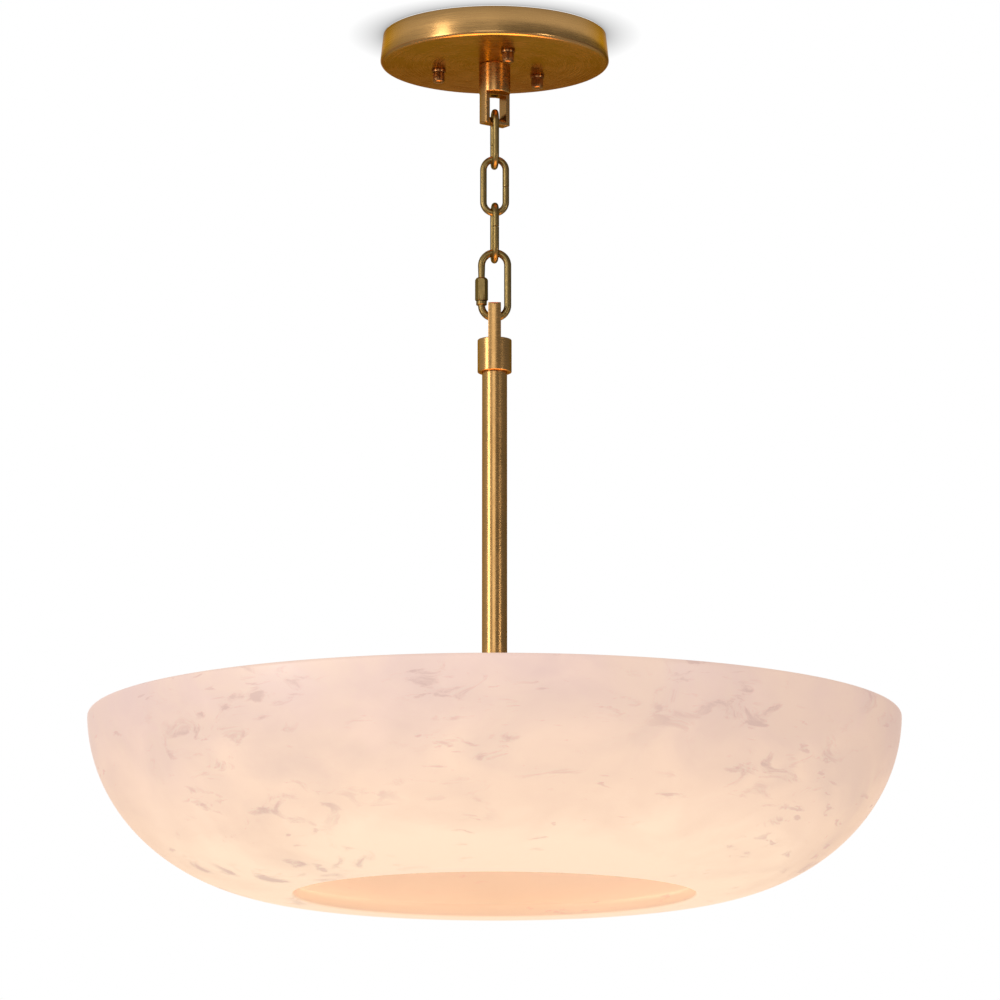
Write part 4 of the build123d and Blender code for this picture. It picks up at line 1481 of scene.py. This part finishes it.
# ------------------------------------------------------------------ bowl
@dataclass
class StoneBowl:
    """Bowl turned from alabaster, open at the bottom, and the screws in its wall."""

    palette: Palette
    tools: RepeatTools
    radius: float = 304.8
    height: float = 135.3
    wall: float = 12.0
    opening: float = 150.0
    rim_edge: float = 3.0
    opening_edge: float = 4.0
    edge_room: float = 1.05
    fixing_depth: float = 36.0
    spotface: float = 0.6
    pad: float = 2.0
    arm: float = 4.0
    arm_azimuths: tuple[float, ...] = (90.0, 210.0, 330.0)
    screw: ButtonScrew = ButtonScrew(head=4.75, height=3.4, shank=2.5, length=13.0)
    profile_steps: int = 40
    segments: int = 288

    def wall_curve(self, inset: float) -> list[tuple[float, float]]:
        """Quarter ellipse of the wall from the rim down, inset from its outside.

        Args:
            inset: how far inside the outer face it lies, in millimetres.

        Returns:
            Radius and height of each point.
        """
        across = self.radius - self.opening - inset
        down = self.height - inset
        steps = self.profile_steps
        turns = [math.pi / 2 * step / steps for step in range(steps + 1)]
        return [(self.opening + across * math.cos(turn), -down * math.sin(turn)) for turn in turns]

    def bowl_mesh(self, rim: float) -> bpy.types.Mesh:
        """Turn the wall's section round the middle axis.

        Args:
            rim: level of the rim in metres.

        Returns:
            The bowl's mesh in place.
        """
        top = -self.rim_edge * self.edge_room
        narrowest = self.opening + self.opening_edge * self.edge_room
        outer, inner = [
            [(x, y) for x, y in self.wall_curve(inset) if y < top and x > narrowest]
            for inset in (0.0, self.wall)
        ]
        inner_rim = self.radius - self.wall
        corners = [
            (self.radius, 0.0, self.rim_edge),
            *[(x, y, 0.0) for x, y in outer],
            (self.opening, -self.height, self.opening_edge),
            (self.opening, self.wall - self.height, self.opening_edge),
            *[(x, y, 0.0) for x, y in reversed(inner)],
            (inner_rim, 0.0, self.rim_edge),
        ]
        mesh = turned("alabaster_bowl", rounded(corners, True, 6), self.segments, hollow=True)
        mesh.transform(Matrix.Translation((0, 0, rim)))
        return mesh

    def wall_seats(self, rim: float) -> list[tuple[Vector, Vector]]:
        """Seat and direction of each wall screw's head.

        Args:
            rim: level of the rim in metres.

        Returns:
            The point under each head and the way that the head faces.
        """
        across = self.radius - self.opening - self.wall
        down = self.height - self.wall
        reach = across * math.sqrt(1 - (self.fixing_depth / down) ** 2)
        tilt = math.atan2(self.fixing_depth / down**2, reach / across**2)
        back = self.pad - self.spotface + self.arm
        radius = self.opening + reach - back * math.cos(tilt)
        height = -self.fixing_depth + back * math.sin(tilt)
        seats = []
        for azimuth in self.arm_azimuths:
            turn = azimuth_turn(azimuth)
            point = turn @ Vector((radius * MM, 0, height * MM)) + Vector((0, 0, rim))
            facing = turn @ Vector((-math.cos(tilt), 0, math.sin(tilt)))
            seats.append((point, facing))
        return seats

    def build(self) -> None:
        """Build and hang the bowl and its screws."""
        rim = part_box("bowl")[1].z
        body, steel = "stem_and_bowl", "zinc_steel"
        bowl = self.bowl_mesh(rim)
        hang_piece("alabaster_bowl", bowl, body, "alabaster", ["bowl"], self.palette)
        name, seats = "wall_button_screws", self.wall_seats(rim)
        screws = self.tools.fastener_mesh(name, self.screw.mesh(), seats, self.palette[steel])
        hang_piece(name, screws, body, steel, ["wall_screws"], self.palette)


# ------------------------------------------------------------------ hub and lamps
@dataclass
class LampCluster:
    """Hub screws, lamp holders and bulb caps inside the bowl."""

    palette: Palette
    tools: RepeatTools
    arm_azimuths: tuple[float, ...] = (90.0, 210.0, 330.0)
    arm_screw_circles: tuple[float, ...] = (20.0, 27.5)
    cover_screw_circle: float = 29.5
    arm_screw: ButtonScrew = ButtonScrew(head=3.6, height=2.4, shank=2.0, length=7.9)
    cover_screw: ButtonScrew = ButtonScrew(head=2.8, height=1.8, shank=1.5, length=8.9)
    lamps: dict[str, float] = field(
        default_factory=lambda: {"right": 30.0, "left": 150.0, "front": 270.0}
    )
    husk_start: float = 39.0
    husk_radius: float = 19.0
    husk_length: float = 44.0
    husk_wall: float = 1.5
    husk_base: float = 3.0
    husk_hole: float = 4.9
    cut_lines: tuple[float, ...] = (9.0, 6.5)
    cut_depth: float = 0.45
    cut_half_width: float = 0.4
    cap_start: float = 58.0
    cap_radius: float = 13.5
    cap_length: float = 24.0
    contact_radius: float = 4.5
    contact_height: float = 2.0
    cap_pitch: float = 3.6
    cap_depth: float = 0.75

    def husk_mesh(self, azimuth: float, axis: float) -> bpy.types.Mesh:
        """Turned cup with a rounded base, two cut lines and a rolled mouth.

        Args:
            azimuth: direction of the lamp.
            axis: level of its axis in metres.

        Returns:
            The cup's mesh in place.
        """
        r, wall, length = self.husk_radius, self.husk_wall, self.husk_length
        corners = [(self.husk_hole, 0.0, 0.0), (r, 0.0, 2.2)]
        half = self.cut_half_width
        for below_mouth in self.cut_lines:
            cut = length - below_mouth
            corners += [(r, cut - half, 0.0), (r - self.cut_depth, cut, 0.0), (r, cut + half, 0.0)]
        corners += [
            (r, length, 0.7),
            (r - wall, length, 0.6),
            (r - wall, self.husk_base, 1.0),
            (self.husk_hole, self.husk_base, 0.0),
        ]
        mesh = turned("lamp_cup", rounded(corners, True, 5), 96, hollow=True)
        mesh.transform(lying_along(azimuth, self.husk_start * MM, axis))
        return mesh

    def cap_mesh(self, azimuth: float, axis: float) -> bpy.types.Mesh:
        """Screw cap of a bulb with its rolled thread and end contact.

        Args:
            azimuth: direction of the lamp.
            axis: level of its axis in metres.

        Returns:
            The cap's mesh in place.
        """
        r, length = self.cap_radius, self.cap_length
        contact = self.contact_radius
        profile: Profile = [(0.0, -self.contact_height), (contact - 0.8, -self.contact_height)]
        profile += [(contact, -self.contact_height + 0.7), (contact, 0.0)]
        profile += [(r - 2.2, 0.5), (r - 0.9, 1.6)]
        profile += [(r, height) for height in levels(2.4, length - 5.0, 0.4)]
        profile += [(r - 0.6, length - 4.4), (r - 0.6, length), (0.0, length)]
        mesh = turned("bulb_screw_cap", profile, 64, threaded(r, self.cap_depth, self.cap_pitch))
        mesh.transform(lying_along(azimuth, self.cap_start * MM, axis))
        return mesh

    def ring_seats(
        self, circles: Sequence[float], height: float, way: Vector
    ) -> list[tuple[Vector, Vector]]:
        """Seats on rings round the middle axis at the arms' azimuths.

        Args:
            circles: radius of each ring in millimetres.
            height: their level in metres.
            way: direction that the heads face.

        Returns:
            Each seat's point and direction.
        """
        seats = []
        for azimuth in self.arm_azimuths:
            for circle in circles:
                place = azimuth_turn(azimuth) @ Vector((circle * MM, 0, 0))
                seats.append((place + Vector((0, 0, height)), way))
        return seats

    def build(self) -> None:
        """Build and hang the lamp cups, the bulb caps and the hub's screws."""
        body, steel = "stem_and_bowl", "zinc_steel"
        for side, azimuth in self.lamps.items():
            low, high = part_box("lamp_husk_" + side)
            axis = (low.z + high.z) / 2
            husk = self.husk_mesh(azimuth, axis)
            nodes = ["lamp_husk_" + side]
            hang_piece("lamp_cup_" + side, husk, body, "brushed_brass", nodes, self.palette)
            cap = self.cap_mesh(azimuth, axis)
            nodes = ["bulb_cap_" + side]
            hang_piece("screw_cap_" + side, cap, "bulb_" + side, "nickel", nodes, self.palette)
        arm_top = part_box("bowl_arm_back")[1].z
        cover_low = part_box("hub_cover")[0].z
        on_arms = self.ring_seats(self.arm_screw_circles, arm_top, Vector((0, 0, 1)))
        on_cover = self.ring_seats([self.cover_screw_circle], cover_low, Vector((0, 0, -1)))
        sets = {
            "arm_button_screws": (self.arm_screw, on_arms, "arm_screws"),
            "cover_button_screws": (self.cover_screw, on_cover, "hub_cover_screws"),
        }
        for name, (screw, seats, node) in sets.items():
            mesh = self.tools.fastener_mesh(name, screw.mesh(), seats, self.palette[steel])
            hang_piece(name, mesh, body, steel, [node], self.palette)


# ------------------------------------------------------------------ studio
@dataclass(frozen=True)
class Softbox:
    """One soft lamp.

    Its place, aim and size are in metres, its power is in watts, and its spread in degrees.
    """

    place: Colour
    aim: Colour
    size: tuple[float, float]
    power: float
    tint: Colour
    mirrored_only: bool = False
    spread: float = 180.0

    def hang(self, name: str) -> None:
        """Hang the lamp; one that is mirrored only adds nothing but highlights on metal.

        Args:
            name: the lamp's name.
        """
        data = bpy.data.lights.new(name, "AREA")
        data.shape = "RECTANGLE"
        data.size, data.size_y = self.size
        data.energy = self.power
        data.color = self.tint
        data.spread = math.radians(self.spread)
        lamp = bpy.data.objects.new(name, data)
        lamp.location = self.place
        way = Vector(self.aim) - Vector(self.place)
        lamp.rotation_euler = way.to_track_quat("-Z", "Y").to_euler()
        lamp.visible_camera = False
        lamp.visible_diffuse = not self.mirrored_only
        bpy.context.scene.collection.objects.link(lamp)


@dataclass
class Studio:
    """Camera, lamps, world, floor and the patch of ceiling with a painted shadow round the canopy.
    """

    camera_place: Colour = (0.0041, -4.0838, -1.1410)
    camera_tilt: float = 100.79
    lens: float = 198.0
    floor_height: float = -2.4
    floor_half: float = 9.0
    patch_inner: float = 85.0
    patch_outer: float = 113.0
    world_level: float = 0.42
    mirror_left: float = 0.55
    mirror_right: float = 0.22
    warm_below: Colour = (0.75, 0.3, 0.06)
    backdrop_way: Colour = (0.0, 0.975, 0.22)
    backdrop_edge: tuple[float, float] = (0.93, 0.985)
    room_edge: tuple[float, float] = (-0.9, 0.5)
    horizon_edge: tuple[float, float] = (0.0, -0.18)
    patch_segments: int = 96
    patch_height: float = 0.0004
    patch_dark: float = 0.34
    patch_rise: float = 0.66
    patch_power: float = 0.45
    lamps: dict[str, Softbox] = field(
        default_factory=lambda: {
            "tall_softbox_left": Softbox(
                (-1.85, -1.35, 0.0), (0.0, 0.0, -0.2), (0.55, 1.8), 14.0, (1.0, 0.96, 0.91)
            ),
            "tall_strip_left": Softbox(
                (-1.84, -1.34, 0.0),
                (0.0, 0.0, -0.2),
                (0.5, 1.8),
                9.0,
                (1.0, 0.94, 0.86),
                mirrored_only=True,
            ),
            "wide_softbox_front": Softbox(
                (-0.3, -2.6, 0.1), (0.0, 0.0, -0.4), (1.2, 1.2), 8.0, (1.0, 0.98, 0.95)
            ),
            "low_softbox_right": Softbox(
                (1.7, -1.4, -0.45), (0.0, 0.0, -0.5), (0.3, 0.6), 5.0, (1.0, 0.92, 0.84)
            ),
            "glow_from_bowl": Softbox(
                (0.0, 0.0, -0.52),
                (0.0, 0.001, 0.0),
                (0.42, 0.42),
                1.3,
                (1.0, 0.4, 0.08),
                spread=100.0,
            ),
        }
    )

    def set_camera(self) -> None:
        """Stand the camera where the photograph was taken from."""
        data = bpy.data.cameras.new("camera")
        data.lens = self.lens
        data.clip_end = 100.0
        camera = bpy.data.objects.new("camera", data)
        camera.location = self.camera_place
        camera.rotation_euler = (math.radians(self.camera_tilt), 0.0, 0.0)
        bpy.context.scene.collection.objects.link(camera)
        bpy.context.scene.camera = camera

    def set_world(self) -> None:
        """White behind the pendant, a dimmer room round it, and plain soft light on the rest."""
        world = bpy.data.worlds.new("studio")
        world.use_nodes = True
        world.node_tree.nodes.clear()
        bpy.context.scene.world = world
        board = NodeBoard(world.node_tree)
        rays = board.add("ShaderNodeLightPath").outputs
        way = board.add("ShaderNodeTexCoord").outputs["Generated"]
        parts = board.add("ShaderNodeSeparateXYZ", {0: way}).outputs
        towards = {0: way, 1: self.backdrop_way}
        facing = board.add("ShaderNodeVectorMath", towards, operation="DOT_PRODUCT")
        room = board.ramp(parts["X"], *self.room_edge, self.mirror_left, self.mirror_right)
        mirrored = board.ramp(facing.outputs["Value"], *self.backdrop_edge, room, 1.0)
        below = board.ramp(parts["Z"], *self.horizon_edge)
        tone = board.blend(below, (1.0, 1.0, 1.0), self.warm_below)
        seen = board.sum("MAXIMUM", rays["Is Camera Ray"], rays["Is Transmission Ray"])
        shown = board.ramp(rays["Is Glossy Ray"], 0.0, 1.0, self.world_level, mirrored)
        strength = board.ramp(seen, 0.0, 1.0, shown, 1.0)
        tone = board.blend(rays["Is Glossy Ray"], (1.0, 1.0, 1.0), tone)
        back = board.add("ShaderNodeBackground", {"Color": tone, "Strength": strength})
        board.add("ShaderNodeOutputWorld", {"Surface": back.outputs[0]})

    def one_sided(self, name: str) -> tuple[bpy.types.Material, NodeBoard, bpy.types.Node]:
        """Start a material that shows on its front only.

        Args:
            name: the material's name.

        Returns:
            The material, its board, and the mix whose first input is the front.
        """
        material = bpy.data.materials.new(name)
        material.use_nodes = True
        material.node_tree.nodes.clear()
        board = NodeBoard(material.node_tree)
        behind = board.add("ShaderNodeNewGeometry").outputs["Backfacing"]
        clear = board.add("ShaderNodeBsdfTransparent").outputs[0]
        choice = board.add("ShaderNodeMixShader", {0: behind, 2: clear})
        board.add("ShaderNodeOutputMaterial", {"Surface": choice.outputs[0]})
        return material, board, choice

    def lay_floor(self) -> None:
        """Pale floor a room's height below the ceiling."""
        half, level = self.floor_half, self.floor_height
        mesh = bpy.data.meshes.new("floor")
        turns = [(-half, -half), (half, -half), (half, half), (-half, half)]
        mesh.from_pydata([(x, y, level) for x, y in turns], [], [(0, 1, 2, 3)])
        material, board, choice = self.one_sided("pale_floor")
        place = board.add("ShaderNodeTexCoord").outputs["Object"]
        tone = board.blend(board.noise(place, 0.8, 3.0), (0.86, 0.86, 0.85), (0.9, 0.9, 0.9))
        matt = board.add("ShaderNodeBsdfDiffuse", {"Color": tone}).outputs[0]
        board.tree.links.new(matt, choice.inputs[1])
        mesh.materials.append(material)
        floor = bpy.data.objects.new("floor", mesh)
        bpy.context.scene.collection.objects.link(floor)

    def hang_ceiling_patch(self) -> None:
        """Ring of white ceiling with a painted soft shadow round the canopy."""
        segments = self.patch_segments
        points, faces = [], []
        for step in range(segments):
            turn = 2 * math.pi * step / segments
            for radius in (self.patch_inner * MM, self.patch_outer * MM):
                spot = (radius * math.cos(turn), radius * math.sin(turn), self.patch_height)
                points.append(spot)
            after = (step + 1) % segments
            faces.append((2 * step, 2 * after, 2 * after + 1, 2 * step + 1))
        mesh = bpy.data.meshes.new("ceiling_patch")
        mesh.from_pydata(points, [], faces)
        if mesh.polygons[0].normal.z > 0:
            mesh.flip_normals()
        material, board, choice = self.one_sided("painted_shadow_ceiling")
        place = board.add("ShaderNodeTexCoord").outputs["Object"]
        # Painted shadow: the white emission is darkest at the canopy's edge and rises to full white
        # at the ring's outer edge.
        far = board.add("ShaderNodeVectorMath", {0: place}, operation="LENGTH").outputs["Value"]
        width = (self.patch_outer - self.patch_inner) * MM
        fade = board.sum("DIVIDE", board.sum("SUBTRACT", far, self.patch_inner * MM), width)
        rise = board.sum("MULTIPLY", board.sum("POWER", fade, self.patch_power), self.patch_rise)
        strength = board.sum("MINIMUM", board.sum("ADD", rise, self.patch_dark), 1.0)
        white = board.add("ShaderNodeEmission", {"Strength": strength}).outputs[0]
        board.tree.links.new(white, choice.inputs[1])
        mesh.materials.append(material)
        patch = bpy.data.objects.new("ceiling_patch", mesh)
        bpy.context.scene.collection.objects.link(patch)

    def build(self) -> None:
        """Set up the whole studio."""
        self.set_camera()
        self.set_world()
        for name, lamp in self.lamps.items():
            lamp.hang(name)
        self.lay_floor()
        self.hang_ceiling_patch()
        bpy.context.scene.view_settings.view_transform = "Standard"


# ------------------------------------------------------------------ whole pendant
def dress_frame(nodes: dict[str, bpy.types.Object], palette: Palette) -> None:
    """Give every CAD node the finish that its material slot names.

    Args:
        nodes: the CAD nodes by name.
        palette: the finishes.
    """
    for name, node in nodes.items():
        for slot in node.material_slots:
            plain = slot.material.name.split(".")[0]
            slot.material = palette[plain]
        LOG.info("dressed %s", name)


def main() -> None:
    """Build the pendant's looks and its studio."""
    logging.basicConfig(level=logging.INFO, format="%(message)s")
    for left_over in list(bpy.data.objects):
        bpy.data.objects.remove(left_over)
    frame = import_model()
    bulbs = []
    for side in ("right", "left", "front"):
        near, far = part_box("bulb_glass_" + side)
        bulbs.append((near + far) / 2)
    palette = Palette(Effects())
    palette.mix(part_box("bowl"), StoneBowl.opening * MM, tuple(bulbs))
    dress_frame(frame["nodes"], palette)
    tools = RepeatTools()
    CeilingFixture(palette, tools).build()
    HangingChain(palette, tools).build()
    StoneBowl(palette, tools).build()
    LampCluster(palette, tools).build()
    Studio().build()


if __name__ == "__main__":
    main()
